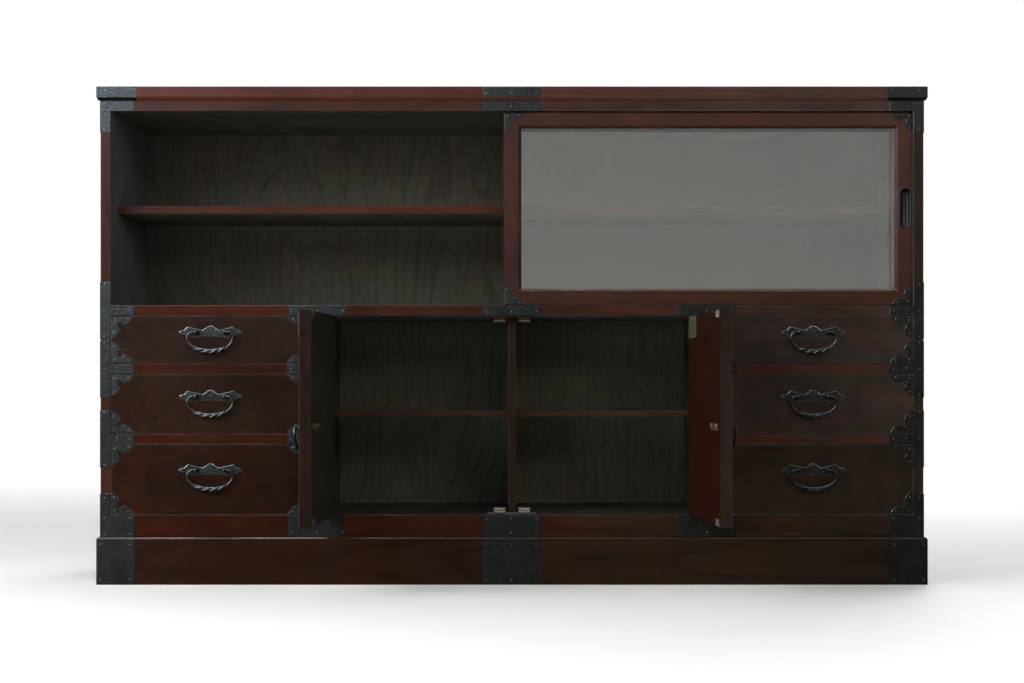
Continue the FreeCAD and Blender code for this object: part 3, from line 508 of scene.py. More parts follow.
# Tones of the boards and of the iron. The left and right tones, the doors' and the drawers' carry painted
# light: redder on the left, where the light falls, and greyer on the right as a painted haze of reflection.
TONES = {
    "top_left": (0.0530, 0.0144, 0.0078),
    "top_right": (0.0372, 0.0192, 0.0149),
    "head_left": (0.0302, 0.0093, 0.0041),
    "head_right": (0.0282, 0.0171, 0.0139),
    "mid_left": (0.0267, 0.0073, 0.0031),
    "mid_right": (0.0245, 0.0155, 0.0109),
    "rails_left": (0.0208, 0.0061, 0.0028),
    "rails_right": (0.0233, 0.0136, 0.0091),
    "bottom_rail_left": (0.0169, 0.0047, 0.0017),
    "bottom_rail_right": (0.0109, 0.0086, 0.0051),
    "plinth_left": (0.0134, 0.0041, 0.0015),
    "plinth_right": (0.0104, 0.0064, 0.0033),
    "side_left": (0.0291, 0.0093, 0.0053),
    "side_right": (0.0143, 0.0087, 0.0059),
    "front_left_bottom": (0.0127, 0.0055, 0.0025),
    "front_left_middle": (0.0138, 0.0067, 0.0035),
    "front_left_top": (0.0131, 0.0074, 0.0041),
    "front_right_bottom": (0.0117, 0.0089, 0.0057),
    "front_right_middle": (0.0178, 0.0142, 0.0109),
    "front_right_top": (0.0172, 0.0139, 0.0113),
    "door_left": (0.0094, 0.0048, 0.0025),
    "door_right": (0.0126, 0.0080, 0.0056),
    "door_left_inside": (0.0124, 0.0112, 0.0078),
    "door_right_inside": (0.0134, 0.0039, 0.0020),
    "frame": (0.0275, 0.0108, 0.0066),
    "shelf": (0.0368, 0.0109, 0.0052),
    "divider": (0.0145, 0.0083, 0.0045),
    "low_shelves": (0.0223, 0.0116, 0.0058),
    "back_low": (0.1666, 0.1687, 0.1181),
    "back_high": (0.0848, 0.0823, 0.0619),
    "inner_sides": (0.0482, 0.0512, 0.0476),
    "ceiling": (0.0114, 0.0107, 0.0077),
    "dark": (0.0620, 0.0590, 0.0450),
    "iron": (0.0024, 0.0025, 0.0008),
}
# Lighter colour of the board edges: partly wear and partly a painted highlight along them.
WORN_AND_HIGHLIT_EDGE = (0.14, 0.105, 0.095)
RUST = (0.05, 0.024, 0.014)

# Tints of the reddish patches in the rails and in the drawer fronts
REDDER = (1.4, 0.86, 0.82)
WARMER = (1.28, 0.95, 0.95)


def along_x(name):
    """The two tones of a board that runs the whole width, as painted light: redder on the left,
    where the light falls, and greyer on the right as a painted haze of reflection.
    """
    return dict(tone=TONES[name + "_left"], fade=("x", -0.6, 0.6, TONES[name + "_right"]))


black_iron = hammered_iron("black_iron", TONES["iron"], scaled(TONES["iron"], 0.62),
                           wear=0.18, roughness=0.39, specular=0.03)
forged_iron = hammered_iron("forged_iron", (0.0046, 0.0050, 0.0042), (0.0021, 0.0023, 0.0020),
                            cell=240.0, wear=0.25, roughness=0.32, specular=0.045)
bail_iron = hammered_iron("bail_iron", (0.0068, 0.0073, 0.0062), (0.0026, 0.0028, 0.0023),
                          cell=300.0, wear=0.3, roughness=0.28, specular=0.045)
nail_iron = hammered_iron("nail_iron", (0.024, 0.024, 0.020), (0.009, 0.0095, 0.008),
                          cell=500.0, wear=0.5, roughness=0.36, specular=0.10)
# The lighter rim colours of the iron plates and handles are partly wear and partly painted highlight.
edge_iron = bare_and_highlit_iron("edge_iron", (0.024, 0.025, 0.022), 0.0, 0.04)
handle_edge = bare_and_highlit_iron("handle_edge", (0.070, 0.070, 0.064), 0.25, 0.12)
steel = dull_metal("dull_steel", (0.058, 0.046, 0.028))
brass = dull_metal("dull_brass", (0.036, 0.021, 0.010))
pane_glass = clear_glass("pane_glass")
catch_plastic = moulded_plastic("catch_plastic", (0.03, 0.02, 0.014))


# Finishes of the frame's own nodes

def finish_node(name, material, bevel=0.8 * MM, edge=None):
    """Gives a node its material and softens its edges."""
    piece = nodes[name]
    piece.data.materials.clear()
    piece.data.materials.append(material)
    if edge:
        piece.data.materials.append(edge)
    weld = piece.modifiers.new("weld", "WELD")
    weld.merge_threshold = 0.005 * MM
    flat = piece.modifiers.new("flat", "DECIMATE")
    flat.decimate_type = "DISSOLVE"
    flat.angle_limit = math.radians(0.5)
    if bevel:
        soft = piece.modifiers.new("bevel", "BEVEL")
        soft.width = bevel
        soft.segments = 1
        soft.limit_method = "ANGLE"
        soft.angle_limit = math.radians(40)
        soft.harden_normals = False
        if edge:
            soft.material = 1
    return piece


def finish_long_boards():
    """Boards and rails that run the whole width."""
    behind = front_y + 2.5 * MM
    flat = dict(along="x", across="y")
    rail = dict(along="x", across="z", tilt=0.015, wander=0.012)
    red_rail = dict(rail, blush=(REDDER, 20.0))
    finish_node("top_board", wood("wood_top", pith=(0.05, roof_z - 0.15), spacing=6.5 * MM, tilt=0.05,
                                  edge_wear_and_highlight=0.0, seed=1.0, **along_x("top"), **flat), 1.6 * MM)
    # Painted light: the head board's underside takes the ceiling tone and turns much lighter towards the
    # back.
    ceiling = ("y", behind, TONES["ceiling"], scaled(TONES["ceiling"], 7.5))
    finish_node("head_board", wood("wood_head", pith=(head_z, 0.1), inside=ceiling, seed=2.3,
                                   **along_x("head"), **rail))
    finish_node("mid_board", wood("wood_mid", pith=(sill_z, 0.15), inside=("y", behind, TONES["dark"]),
                                  seed=3.1, **along_x("mid"), **red_rail))
    finish_node("bottom_rail", wood("wood_bottom_rail", pith=(floor_z, 0.0), seed=4.7,
                                    **along_x("bottom_rail"), **red_rail))
    finish_node("drawer_rails", wood("wood_rails", pith=(0.35, 0.0), seed=11.0,
                                     **along_x("rails"), **red_rail))
    finish_node("plinth", wood("wood_plinth", pith=(0.05, 0.0), edge_wear_and_highlight=0.0, specular=0.012, seed=6.2,
                               **along_x("plinth"), **rail), 0.6 * MM)
    finish_node("bottom_board", wood("wood_floor", scaled(TONES["dark"], 0.45), seed=5.0, **flat))


def finish_uprights_and_shelves():
    for name, sign in SIDES:
        # Painted light: the left side takes a brighter, redder tone than the right, and the inner faces turn
        # lighter towards the back.
        inner = TONES["inner_sides"]
        pith = (0.03 * sign, sign * (side_x - 0.16))
        side = wood("wood_side_" + name, TONES["side_" + name], "z", "y", pith, 6 * MM, 0.07,
                    inside=("x", inner_x + 0.2 * MM, inner, scaled(inner, 1.8)),
                    edge_wear_and_highlight=0.2, seed=7.0 + sign)
        finish_node("side_panel_" + name, side)
    boards = (
        ("partitions", "wood_partitions", "divider", "z", (0.02, 0.3), 2.5 * MM, 9.0, 0.8 * MM),
        ("centre_divider", "wood_centre_divider", "divider", "z", (0.0, 0.15), 1.5 * MM, 13.0, 0.8 * MM),
        ("upper_shelf", "wood_upper_shelf", "shelf", "x", (0.1, 0.5), 1.5 * MM, 14.0, 0.8 * MM),
        ("lower_shelves", "wood_lower_shelves", "low_shelves", "x", (0.1, 0.2), 1.5 * MM, 15.0, 0.5 * MM),
    )
    for name, finish, tone, along, pith, lipping, seed, bevel in boards:
        behind_edge = ("y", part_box(name)[0].y + lipping, TONES["dark"])
        finish_node(name, wood(finish, TONES[tone], along, "y", pith, inside=behind_edge, seed=seed), bevel)


def finish_back():
    """Veneer leaves inside, with painted shade under the roof, above the shelves and the boards
    and towards the left side, and plain dark boards outside."""
    shelf_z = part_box("upper_shelf")[1].z
    low_shelf_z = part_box("lower_shelves")[1].z
    # Painted shade on the back: darker under the roof, down towards each shelf, the mid board and the bottom
    # board, and towards the left side; the shares above 1 lift each shelf's shade again below it.
    shading = [
        ("z", head_z - 40 * MM, head_z, 0.8),
        ("z", shelf_z + 120 * MM, shelf_z, 0.68),
        ("z", shelf_z, shelf_z - 20 * MM, 1.45),
        ("z", sill_z + 160 * MM, sill_z, 0.56),
        ("z", low_shelf_z + 60 * MM, low_shelf_z, 0.76),
        ("z", low_shelf_z, low_shelf_z - 15 * MM, 1.35),
        ("z", floor_z + 110 * MM, floor_z, 0.64),
        ("x", 160 * MM - inner_x, -inner_x, 0.8),
    ]
    outside = ("y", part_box("back_panels")[0].y + 3 * MM, (0.030, 0.018, 0.012))
    back = wood("wood_back", TONES["back_low"], "z", "x", (0.172, rear_y + 0.05), 19 * MM, 0.16,
                fade=("z", mid_z - 40 * MM, sill_z, TONES["back_high"]), inside=outside, leaves=0.318,
                blush=((1.12, 0.9, 0.95), 9.0), shading=shading, wander=0.15, ripple=3 * MM,
                contrast=0.34, mottle=0.1, seed=12.0)
    finish_node("back_panels", back, 0.5 * MM)


def finish_carcass():
    finish_long_boards()
    finish_uprights_and_shelves()
    finish_back()
    finish_node("drawer_runners", pale_wood("wood_runners", "y"))
    finish_node("carcass_irons", black_iron, SURFACE_BEVEL, edge_iron)
    finish_node("catch_cases", catch_plastic, 0.5 * MM)
    finish_node("catch_poles", steel, 0.3 * MM)
    finish_node("shelf_rests", steel, 0.2 * MM)
    finish_node("hinge_fixed_leaves", steel, 0.15 * MM)


def finish_moving_boards():
    for side, sign in SIDES:
        for number, level in enumerate(DRAWERS):
            name = "drawer_" + side + "_" + level
            low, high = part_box(name + "_front")
            # Painted light: each drawer front has its own tone, the left bank redder, the right greyer, both
            # browner towards the bottom.
            tone = scaled(TONES["front_" + side + "_" + level], 0.92)
            pith = ((low.z + high.z) / 2 + 0.02 * (number - 1), front_y + 0.06)
            front = wood("wood_" + name, tone, "x", "z", pith, 5 * MM, 0.09, blush=(WARMER, 26.0),
                         wander=0.05, contrast=0.3, mottle=0.22, seed=30.0 + 4 * number + sign)
            finish_node(name + "_front", front, 0)
            finish_node(name + "_box", pale_wood("pale_" + name, "y"), 0.6 * MM)
        name = "door_" + side
        # Painted light: the doors and their inner faces take separate tones, the right door's inner face,
        # which looks towards the light, red and the left one's, which looks away, grey.
        board = wood("wood_" + name, TONES[name], "z", "y", (-0.40, 0.3 * sign), 5 * MM, 0.06,
                     inside=("way", -sign, TONES[name + "_inside"]), contrast=0.3, mottle=0.15, bump=0.04,
                     edge_wear_and_highlight=0.3, seed=50.0 + sign)
        finish_node(name + "_board", board, 0)
        finish_node(name + "_hardware", steel, 0.15 * MM)
    for door in SLIDING_DOORS:
        low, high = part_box(door + "_frame")
        stiles = ("x", (low.x + high.x) / 2, (high.x - low.x) / 2 - 35.5 * MM)
        frame_wood = wood("wood_" + door, TONES["frame"], "x", "z", (0.75, -0.1), 4.5 * MM, 0.03,
                          turned=stiles, specular=0.02, contrast=0.3, edge_wear_and_highlight=0.0, seed=60.0)
        finish_node(door + "_frame", frame_wood, 0.8 * MM)
        finish_node(door + "_glass", pane_glass, 0)


# Mesh helpers

def ride_as(name, mesh, materials, body, turn=None, place=None):
    """A piece made from a finished mesh. turn is a matrix baked into the mesh, and place is one
    that the object takes, so that its own coordinates stay unturned."""
    piece = bpy.data.objects.new(name, mesh)
    bpy.context.scene.collection.objects.link(piece)
    if turn is not None:
        mesh.transform(turn)
    if place is not None:
        piece.matrix_world = place
    for material in materials:
        mesh.materials.append(material)
    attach(piece, body)
    return piece


def finished(build, name, smooth=True):
    """The mesh of a build, with its doubles merged and its faces outwards."""
    bmesh.ops.remove_doubles(build, verts=build.verts, dist=0.001 * MM)
    bmesh.ops.recalc_face_normals(build, faces=build.faces)
    mesh = bpy.data.meshes.new(name)
    build.to_mesh(mesh)
    build.free()
    for polygon in mesh.polygons:
        polygon.use_smooth = smooth
    return mesh


def merge(whole, one):
    mesh = bpy.data.meshes.new("part")
    one.to_mesh(mesh)
    one.free()
    whole.from_mesh(mesh)
    bpy.data.meshes.remove(mesh)


def arc_points(start, via, end, turn=0.12):
    """Points after start, up to end, on the circle through the three."""
    (ax, ay), (bx, by), (cx, cy) = start, via, end
    d = 2 * (ax * (by - cy) + bx * (cy - ay) + cx * (ay - by))
    a_square, b_square, c_square = [x * x + y * y for x, y in (start, via, end)]
    ux = (a_square * (by - cy) + b_square * (cy - ay) + c_square * (ay - by)) / d
    uy = (a_square * (cx - bx) + b_square * (ax - cx) + c_square * (bx - ax)) / d
    first = math.atan2(ay - uy, ax - ux)
    through = (math.atan2(by - uy, bx - ux) - first) % math.tau
    last = (math.atan2(cy - uy, cx - ux) - first) % math.tau
    if through > last:
        last -= math.tau
    radius = math.hypot(ax - ux, ay - uy)
    count = max(2, math.ceil(abs(last) / turn))
    points = []
    for number in range(1, count + 1):
        angle = first + last * number / count
        points.append((ux + radius * math.cos(angle), uy + radius * math.sin(angle)))
    return points


def outline(steps):
    """Corners of an outline whose steps are (x, z) or (x, z, via_x, via_z), in millimetres."""
    corners = []
    for number, step in enumerate(steps):
        if len(step) == 4:
            before = steps[number - 1][:2]
            corners += arc_points(before, step[2:], step[:2])
        else:
            corners.append(step[:2])
    return [Vector((x * MM, z * MM)) for x, z in corners]


def moved(steps, corner, scale_x=1.0, scale_z=1.0):
    """The steps of an outline, scaled and moved to a corner (x, z)."""
    scales = (scale_x, scale_z)
    return [tuple(corner[number % 2] / MM + scales[number % 2] * value for number, value in enumerate(step))
            for step in steps]


def inset_outline(corners, distance):
    """The outline moved inwards, corner by corner, whichever way round it runs."""
    area = 0.0
    count = len(corners)
    for number in range(count):
        a = corners[number]
        b = corners[(number + 1) % count]
        area += a.x * b.y - b.x * a.y
    sign = 1.0 if area > 0 else -1.0
    moved = []
    for number in range(count):
        before = (corners[number] - corners[number - 1]).normalized()
        after = (corners[(number + 1) % count] - corners[number]).normalized()
        way = before + after
        if way.length < 1e-6:
            way = Vector((before.x, before.y))
        way.normalize()
        inward = Vector((-way.y, way.x)) * sign
        square = max(0.45, abs(inward.dot(Vector((-before.y, before.x)))))
        moved.append(corners[number] + inward * (distance / square))
    return moved


def bridge(build, rings, material=None):
    """Four-cornered faces from each ring to the next. material gives a face's slot from the
    number of its ring and of its corner."""
    for row, (here, there) in enumerate(zip(rings[:-1], rings[1:])):
        for number in range(len(here)):
            after = (number + 1) % len(here)
            face = build.faces.new((here[number], here[after], there[after], there[number]))
            if material:
                face.material_index = material(row, number)


def plate(corners, face_y, thickness, edge):
    """A flat iron plate that lies on face_y and faces -Y, with a rounded-over rim. The rim faces
    take the second material."""
    build = bmesh.new()
    levels = [
        (corners, face_y),
        (corners, face_y - thickness + edge),
        (inset_outline(corners, edge * 0.35), face_y - thickness + edge * 0.3),
        (inset_outline(corners, edge), face_y - thickness),
    ]
    rings = [[build.verts.new((p.x, y, p.y)) for p in points] for points, y in levels]
    bridge(build, rings, lambda row, number: int(row > 0))
    build.faces.new(rings[0])
    build.faces.new(rings[-1])
    return build


def lathe(build, profile, turn, sides=16, material=0):
    """Turns a profile of (radius, height) about the axis, then places it by the matrix."""
    rings = []
    for radius, height in profile:
        if radius < 1e-7:
            rings.append([build.verts.new(turn @ Vector((0, 0, height)))])
            continue
        ring = []
        for number in range(sides):
            angle = math.tau * number / sides
            spot = Vector((radius * math.cos(angle), radius * math.sin(angle), height))
            ring.append(build.verts.new(turn @ spot))
        rings.append(ring)
    for lower, upper in zip(rings[:-1], rings[1:]):
        for number in range(sides):
            after = (number + 1) % sides
            corners = [lower[number % len(lower)], lower[after % len(lower)],
                       upper[after % len(upper)], upper[number % len(upper)]]
            unique = list(dict.fromkeys(corners))
            if len(unique) > 2:
                build.faces.new(unique).material_index = material
    if len(rings[0]) > 1:
        build.faces.new(rings[0][::-1]).material_index = material


def facing(where, way):
    """A matrix that puts the origin at a place with local Z along a direction."""
    return Matrix.Translation(where) @ way.to_track_quat("Z", "Y").to_matrix().to_4x4()


def add_nail(build, where, way, height=NAIL_HEIGHT, size=1.0):
    radius = NAIL_RADIUS * size * rng.uniform(0.9, 1.1)
    lean = Vector((rng.uniform(-0.1, 0.1), rng.uniform(-0.1, 0.1), rng.uniform(-0.1, 0.1)))
    turn = facing(where, (way + lean * 0.5).normalized())
    tall = height * rng.uniform(0.85, 1.0)
    profile = [(radius, -0.3 * MM), (radius, 0.12 * tall), (radius * 0.88, 0.5 * tall),
               (radius * 0.55, 0.86 * tall), (0.0, tall)]
    lathe(build, profile, turn, 12)


def nail_group(name, places, body, turn=None, height=NAIL_HEIGHT):
    """Domed nail heads. A place is (position, outward direction)."""
    build = bmesh.new()
    for where, way in places:
        add_nail(build, Vector(where), Vector(way), height)
    return ride_as(name, finished(build, name), [nail_iron], body, turn)


# Irons of the carcass

def carcass_nails():
    """Nails of the straps: on the front at the ends and crossings, and on the side returns."""
    post_x = side_x - NAIL_INSET
    arm_x = inner_x - 39 * MM
    strap_half = 52 * MM
    return_y = front_y + 22 * MM
    mid_level = (mid_z + sill_z) / 2
    fronts = [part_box("drawer_right_" + level + "_front") for level in DRAWERS]
    rails = [(lower[1].z + upper[0].z) / 2 for lower, upper in zip(fronts[:-1], fronts[1:])]
    spots = []
    returns = []
    for level in rails + [mid_level]:
        ends = (level - strap_half, level + strap_half)
        spots += [(post_x, ends[0]), (post_x, level), (post_x, ends[1]), (arm_x, level)]
        spots.append(((post_x + arm_x) / 2, level + 2 * MM))
        returns += [(return_y, ends[0]), (return_y, ends[1]), (return_y - 14 * MM, level)]
    for z in (plinth_z + 78 * MM, floor_z - 6 * MM, plinth_z + 6 * MM):
        spots.append((post_x, z))
        returns.append((return_y, z))
    spots += [(arm_x, floor_z - 6 * MM), (arm_x, plinth_z + 6 * MM)]
    head_level = roof_z - 6 * MM
    head_foot = head_z - 35 * MM
    spots += [(post_x, head_level), (side_x - 60 * MM, head_level), (post_x, head_foot)]
    returns += [(return_y, head_level), (return_y, head_foot)]
    partition_middle = (bay_half + partition_x) / 2
    for level in (mid_level - 1 * MM, plinth_z + 10 * MM):
        spots += [(partition_middle + step * MM, level) for step in (-51, 0, 51)]
    nail_x = partition_middle + 1 * MM
    spots += [(nail_x, mid_z - 34 * MM), (nail_x, floor_z + 34 * MM)]
    for level in rails:
        spots += [(nail_x, level - strap_half), (nail_x, level + strap_half), (nail_x, level)]
        spots.append((partition_x + 40 * MM, level))
    spots += [(-x, z) for x, z in spots]
    for level in (mid_level - 2 * MM, head_z + 9 * MM, plinth_z + 8 * MM, floor_z - 8 * MM):
        spots += [(step * MM, level) for step in (-51, -1, 49)]
    places = [((x, front_y - IRON, z), FRONT) for x, z in spots]
    places += [((sign * (side_x + IRON), y, z), (sign, 0, 0)) for y, z in returns for sign in (-1, 1)]
    nail_group("carcass_nails", places, "cabinet")


def cap_profile(kind):
    """Offset from the wood's face and height, from the top of a cap down."""
    if kind == "top":
        chamfer = 6.5 * MM
        return [(-0.5 * MM, top_z - 0.05 * MM), (CAP_IRON, top_z - 0.9 * MM), (CAP_IRON, roof_z + chamfer),
                (CAP_IRON - 0.9 * chamfer, roof_z + 0.1 * chamfer)]
    return [(-0.2 * MM, plinth_z - 3.0 * MM), (CAP_IRON, plinth_z - 3.6 * MM), (CAP_IRON, 2.2 * MM),
            (-0.2 * MM, 1.6 * MM)]


def wrapped_cap(kind, sign, length):
    """An iron band bent round a front corner: a front leg, a rounded bend and a side leg."""
    build = bmesh.new()
    corner = Vector((trim_x - CAP_BEND, plinth_front_y + CAP_BEND))
    path = [(Vector((trim_x - length, plinth_front_y)), Vector((0, -1)))]
    for number in range(7):
        angle = math.pi / 2 * number / 6
        way = Vector((math.sin(angle), -math.cos(angle)))
        path.append((corner + way * CAP_BEND, way))
    path.append((Vector((trim_x, plinth_front_y + length)), Vector((1, 0))))
    outer = cap_profile(kind)
    section = outer + [(offset - 0.5 * MM, z) for offset, z in reversed(outer)]
    rows = []
    for place, way in path:
        spots = [(place + way * offset, z) for offset, z in section]
        rows.append([build.verts.new((sign * spot.x, spot.y, z)) for spot, z in spots])
    bridge(build, rows, lambda row, number: int(number == 0))
    build.faces.new(rows[0])
    build.faces.new(rows[-1])
    return build


def trim_iron(name, build):
    mesh = finished(build, name, False)
    return ride_as(name, mesh, [black_iron, edge_iron], "cabinet")


def trim_irons():
    """Caps and centre plates of the top board and of the plinth, with their nails. A group has
    its caps' length, the plate's foot and head, the nails' levels, how much higher the caps'
    nails sit, and those nails' distances from the corner and from the cap's end."""
    groups = (
        ("top", 79 * MM, roof_z + 6.5 * MM, top_z - 2 * MM, (roof_z + 14.5 * MM,), 5.5 * MM, 17 * MM, 7 * MM),
        ("plinth", 76 * MM, 1.5 * MM, plinth_z - 3 * MM, (10 * MM, plinth_z - 14 * MM), 0.0, 8 * MM, 10 * MM),
    )
    plate_half = 56.5
    for kind, length, foot, head, levels, lift, near, far in groups:
        pieces = []
        places = []
        for side, sign in SIDES:
            pieces.append(trim_iron(kind + "_cap_" + side, wrapped_cap(kind, sign, length)))
            for z in levels:
                for reach in (near, length - far):
                    on_front = (sign * (trim_x - reach), plinth_front_y - CAP_IRON, z + lift)
                    on_side = (sign * (trim_x + CAP_IRON), plinth_front_y + reach, z + lift)
                    places.append((on_front, FRONT))
                    places.append((on_side, (sign, 0, 0)))
        thickness = CAP_IRON + 0.3 * MM
        corners = outline([(x, z / MM) for x, z in (
            (-plate_half, foot), (plate_half, foot), (plate_half, head), (-plate_half, head))])
        pieces.append(trim_iron(kind + "_centre_plate", plate(corners, plinth_front_y, thickness, 0.5 * MM)))
        for x in (-51 * MM, -1 * MM, 48 * MM):
            places += [((x, plinth_front_y - thickness, z), FRONT) for z in levels]
        nail_group(kind + "_nails", places, "cabinet", height=CAP_NAIL_HEIGHT)
        for piece in pieces:
            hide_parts(kind + "_irons")


# Cusped corner irons and handles, drawn on a face that looks to -Y, in millimetres

CUSP = [
    (0.0, 0.0), (44.0, 0.0), (25.0, 17.0, 36.83, 10.84), (12.0, 12.0, 18.5, 12.3),
    (17.0, 25.0, 12.3, 18.5), (0.0, 44.0, 10.84, 36.83),
]
CUSP_NAILS = ((6.5, 6.5), (33.0, 5.0), (5.0, 33.0))
HANDLE_PLATE = [
    (0.0, 13.5), (9.0, 9.1, 5.0, 12.1), (17.0, 4.4, 12.8, 6.4), (41.0, 9.9), (47.3, 9.3, 44.6, 10.8),
    (53.0, 4.0, 50.6, 6.4), (63.0, 0.0, 58.4, 3.2), (62.0, -3.0), (49.4, -7.0, 55.6, -4.2),
    (23.0, -9.0, 36.0, -11.0),
]
CREST_BEADS = [(0.0, 11.7), (3.9, 10.8), (7.5, 8.5), (11.0, 5.9), (14.8, 3.8)]
CREST_HALF = 17.0
ROSETTE_Z = 3.6
ROSETTE_RADIUS = 3.4


def panel_corners(body, low, high, face_y, scale=1.0, turn=None):
    """Four corner irons on a panel from low to high (x, z), with three nails each."""
    name = body + "_corners"
    margin = 1.2 * MM
    whole = bmesh.new()
    places = []
    for x, turn_x in ((low[0] + margin, 1), (high[0] - margin, -1)):
        for z, turn_z in ((low[1] + margin, 1), (high[1] - margin, -1)):
            steps = moved(CUSP, (x, z), turn_x * scale, turn_z * scale)
            merge(whole, plate(outline(steps), face_y, IRON, IRON_RIM))
            for dx, dz in CUSP_NAILS:
                where = (x + turn_x * dx * scale * MM, face_y - IRON, z + turn_z * dz * scale * MM)
                places.append((where, FRONT))
    irons = ride_as(name, finished(whole, name, False), [black_iron, edge_iron], body, turn)
    nail_group(name + "_nails", places, body, turn)
    return irons


def handle_outline():
    """The right half of the plate's outline and its mirror image, as one loop."""
    left = []
    for step, after in zip(HANDLE_PLATE, HANDLE_PLATE[1:] + [HANDLE_PLATE[-1][:2]]):
        mirrored = (-step[0], step[1])
        if len(after) == 4:
            mirrored += (-after[2], after[3])
        left.append(mirrored)
    return HANDLE_PLATE[1:] + left[::-1]


def backplate(centre):
    """The handle's plate, with beads along its crest and a rosette. The crest's rim is as dark
    as the face, so that the beads, in the lighter rim colour of bare iron and painted highlight, stand out on
    it."""
    build = plate(outline(moved(handle_outline(), centre)), front_y, PLATE_THICKNESS, 0.9 * MM)
    for face in build.faces:
        middle = face.calc_center_median()
        if middle.z > centre[1] and abs(middle.x - centre[0]) < CREST_HALF * MM:
            face.material_index = 0
    bosses = [(sign * x, z, 1.6 * MM, 1) for x, z in CREST_BEADS for sign in ((-1, 1) if x else (1,))]
    for number in range(6):
        angle = math.tau * number / 6
        x = ROSETTE_RADIUS * math.sin(angle)
        bosses.append((x, ROSETTE_Z + ROSETTE_RADIUS * math.cos(angle), 1.5 * MM, 0))
    bosses.append((0.0, ROSETTE_Z, 1.3 * MM, 0))
    for x, z, radius, material in bosses:
        where = Vector((centre[0] + x * MM, front_y - PLATE_THICKNESS, centre[1] + z * MM))
        profile = [(radius, -0.3 * MM), (0.85 * radius, 0.4 * radius), (0.0, 0.8 * radius)]
        lathe(build, profile, facing(where, Vector(FRONT)), 10, material)
    return build


def add_posts(build, centre, board_thickness):
    """Forged posts with a round foot, a waist, a ball and a button, and the nuts inside."""
    foot = PLATE_THICKNESS
    ball = POST_STANDOFF
    profile = [
        (4.5 * MM, foot), (4.5 * MM, foot + 0.8 * MM), (3.9 * MM, foot + 1.8 * MM),
        (3.0 * MM, foot + 3.0 * MM), (2.8 * MM, ball - 3.6 * MM), (3.3 * MM, ball - 2.2 * MM),
        (3.7 * MM, ball), (3.3 * MM, ball + 2.0 * MM), (2.2 * MM, ball + 3.2 * MM),
        (1.1 * MM, ball + 3.6 * MM), (0.0, ball + 3.7 * MM),
    ]
    nut = [(5.4 * MM, 0.0), (5.6 * MM, 0.3 * MM), (5.6 * MM, 2.0 * MM), (4.9 * MM, 2.5 * MM),
           (2.0 * MM, 2.5 * MM), (0.0, 2.5 * MM)]
    for sign in (-1, 1):
        x = centre[0] + sign * POST_SPACING / 2
        lathe(build, profile, facing(Vector((x, front_y, centre[1])), Vector(FRONT)), 20)
        inside = Vector((x, front_y + board_thickness, centre[1]))
        lathe(build, nut, facing(inside, Vector((0, 1, 0))), 4, 2)


def bail_line():
    """Centre line of the bail from one post to the other: straight ends, curls, half ellipse."""
    width = BAIL_HALF_WIDTH - CURL_START
    right = [(BAIL_TIP, 0.0), (30 * MM, 0.0), (CURL_START, 0.0)]
    for number in range(1, 15):
        angle = math.pi / 2 * number / 14
        right.append((CURL_START + width * math.sin(angle), -CURL_DROP * (1 - math.cos(angle))))
    lower = BAIL_DROP - CURL_DROP
    for number in range(1, 91):
        angle = math.pi / 2 * number / 90
        right.append((BAIL_HALF_WIDTH * math.cos(angle), -CURL_DROP - lower * math.sin(angle)))
    left = [(-x, z) for x, z in right[-2::-1]]
    return [Vector((x, z)) for x, z in right + left]


def gadroon(x, angle):
    """Share of the full radius. Leaf-shaped cuts slant across the lower front of the belly, one
    to a pitch, between raised lobes. The angle is 0 on the outer side and a quarter turn at
    the front."""
    end = GADROON_PITCH * GADROONS / 2
    if abs(x) > end:
        return 1.0
    away = (angle + math.pi) % math.tau - math.pi - GADROON_FACING
    around = math.cos(min(math.pi / 2, abs(away) * GADROON_NARROWING))
    cut = math.cos(math.tau * (x / GADROON_PITCH - GADROON_SLANT * away))
    fade = min(1.0, (end - abs(x)) / (6 * MM))
    return 1.0 + around * fade * (GADROON_LOBE * max(0.0, -cut) - GADROON_DEPTH * max(0.0, cut))


def bail_mesh(centre, name):
    """The swinging wire, from one post to the other."""
    build = bmesh.new()
    line = bail_line()
    sides = 36
    rings = []
    shares = []
    for number, place in enumerate(line):
        before = line[max(number - 1, 0)]
        after = line[min(number + 1, len(line) - 1)]
        along = (after - before).normalized()
        outward = Vector((-along.y, 0.0, along.x))
        on_belly = place.y < -CURL_DROP
        full = WIRE_RADIUS
        if on_belly:
            swell = math.cos(math.pi * place.x / (2 * BAIL_HALF_WIDTH)) ** 2
            full += (BELLY_RADIUS - WIRE_RADIUS) * min(1.0, 1.6 * swell)
        elif place.y == 0.0:
            full = WIRE_END_RADIUS
        middle = Vector((centre[0] + place.x, front_y - POST_STANDOFF, centre[1] + place.y))
        ring = []
        for side in range(sides):
            angle = math.tau * side / sides
            shares.append(gadroon(place.x, angle) if on_belly else 1.0)
            reach = full * shares[-1]
            away = outward * (reach * math.cos(angle)) + Vector(FRONT) * (reach * math.sin(angle))
            ring.append(build.verts.new(middle + away))
        rings.append(ring)
    bridge(build, rings, lambda row, side: int(shares[row * sides + side] < DARK_SHARE))
    build.faces.new(rings[0])
    build.faces.new(rings[-1])
    return finished(build, name)


def handle(body, centre, board_thickness, turn=None):
    """Backplate and posts on the panel's body, and the bail on its own body."""
    build = backplate(centre)
    add_posts(build, centre, board_thickness)
    mesh = finished(build, body + "_handle", False)
    for polygon in mesh.polygons:
        polygon.use_smooth = len(polygon.vertices) < 5 and polygon.material_index == 0
    fittings = ride_as(body + "_handle", mesh, [forged_iron, handle_edge, brass], body, turn)
    mesh = bail_mesh(centre, body + "_bail_loop")
    loop = ride_as(body + "_bail_loop", mesh, [bail_iron, black_iron], body + "_bail", turn)
    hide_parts(body + "_bail")
    return fittings


